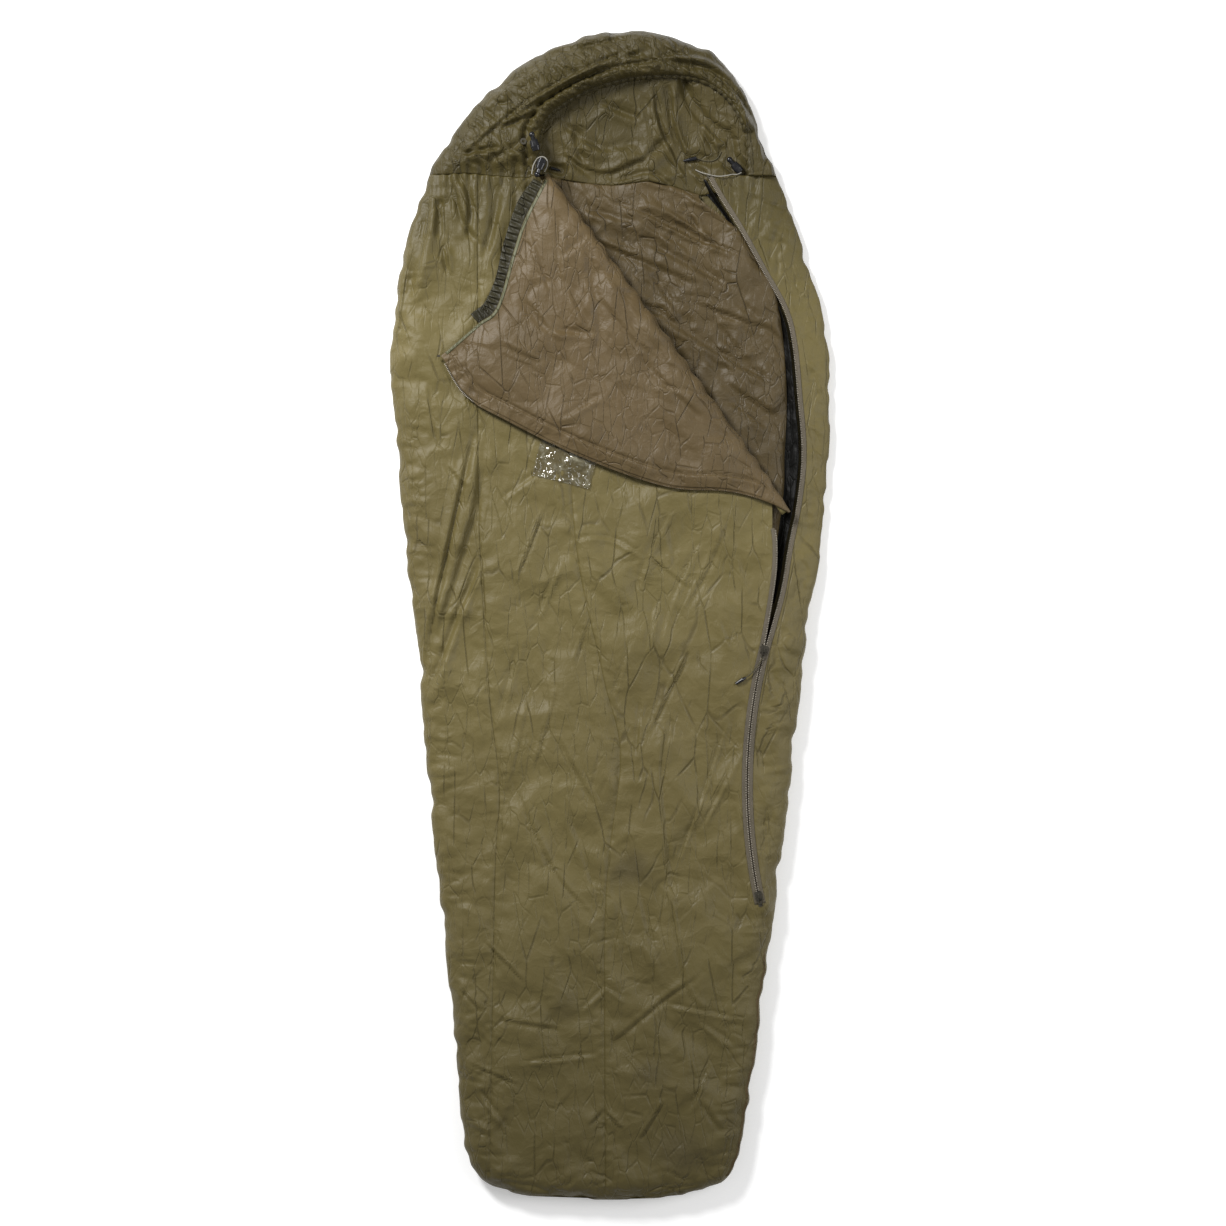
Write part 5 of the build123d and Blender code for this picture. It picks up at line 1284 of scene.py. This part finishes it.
cordCurve("hoodCordTail",
          [(0.161624 + dx, 0.859498 + dy, z) for dx, dy, z in
           [(0.0012, 0.0002, 0.0253), (0.009, -0.003, 0.0233), (0.018, -0.005, 0.0223),
            (0.028, -0.0052, 0.0223), (0.037, -0.002, 0.0223), (0.0435, 0.005, 0.0223),
            (0.0465, 0.013, 0.0223)]],
          0.0020, oliveCord, "bag", ["hood_cord_tail"])

# finishes for the parts that keep their own shape
finishes = {"slider": sliderMetal, "pull_tab": sliderMetal, "eyelet": sliderMetal, "stop": sliderMetal,
            "spring": springSteel, "barrel": darkPlastic, "plunger": darkPlastic, "grip": darkPlastic,
            "cord_end": darkPlastic}
for name, node in frame["nodes"].items():
    for word, material in finishes.items():
        if word in name:
            node.data.materials.clear()
            node.data.materials.append(material)
            break

# each pressed lock's spring as a mesh of its own on the bag, its doubled points merged; the real spring
# shortens towards its closed end as the button is pressed
for joint in frame["record"]["behaviour"]["joints"]:
    if joint["name"].endswith("_press"):
        lock = joint["name"].replace("_press", "")
        merged = bmesh.new()
        merged.from_mesh(frame["nodes"][lock + "_spring"].data)
        bmesh.ops.remove_doubles(merged, verts=merged.verts, dist=1e-6)
        mesh = bpy.data.meshes.new(lock + "Spring")
        merged.to_mesh(mesh)
        merged.free()
        spring = finished(link(lock + "Spring", mesh, springSteel), "bag",
                          [lock + "_spring"])
        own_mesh(spring)

# floor
floorMesh = bpy.data.meshes.new("floor")
floorMesh.from_pydata([(-30, -30, 0), (30, -30, 0), (30, 30, 0), (-30, 30, 0)], [], [(0, 1, 2, 3)])
floorMaterial, floorShader, _ = newMaterial("paleFloor")
floorShader.inputs["Base Color"].default_value = stage["floorColour"]
floorShader.inputs["Roughness"].default_value = 0.9
floorShader.inputs["Emission Color"].default_value = (1, 1, 1, 1)
floorShader.inputs["Emission Strength"].default_value = stage["floorGlow"]
floorMesh.materials.append(floorMaterial)
floor = bpy.data.objects.new("floor", floorMesh)
bpy.context.scene.collection.objects.link(floor)
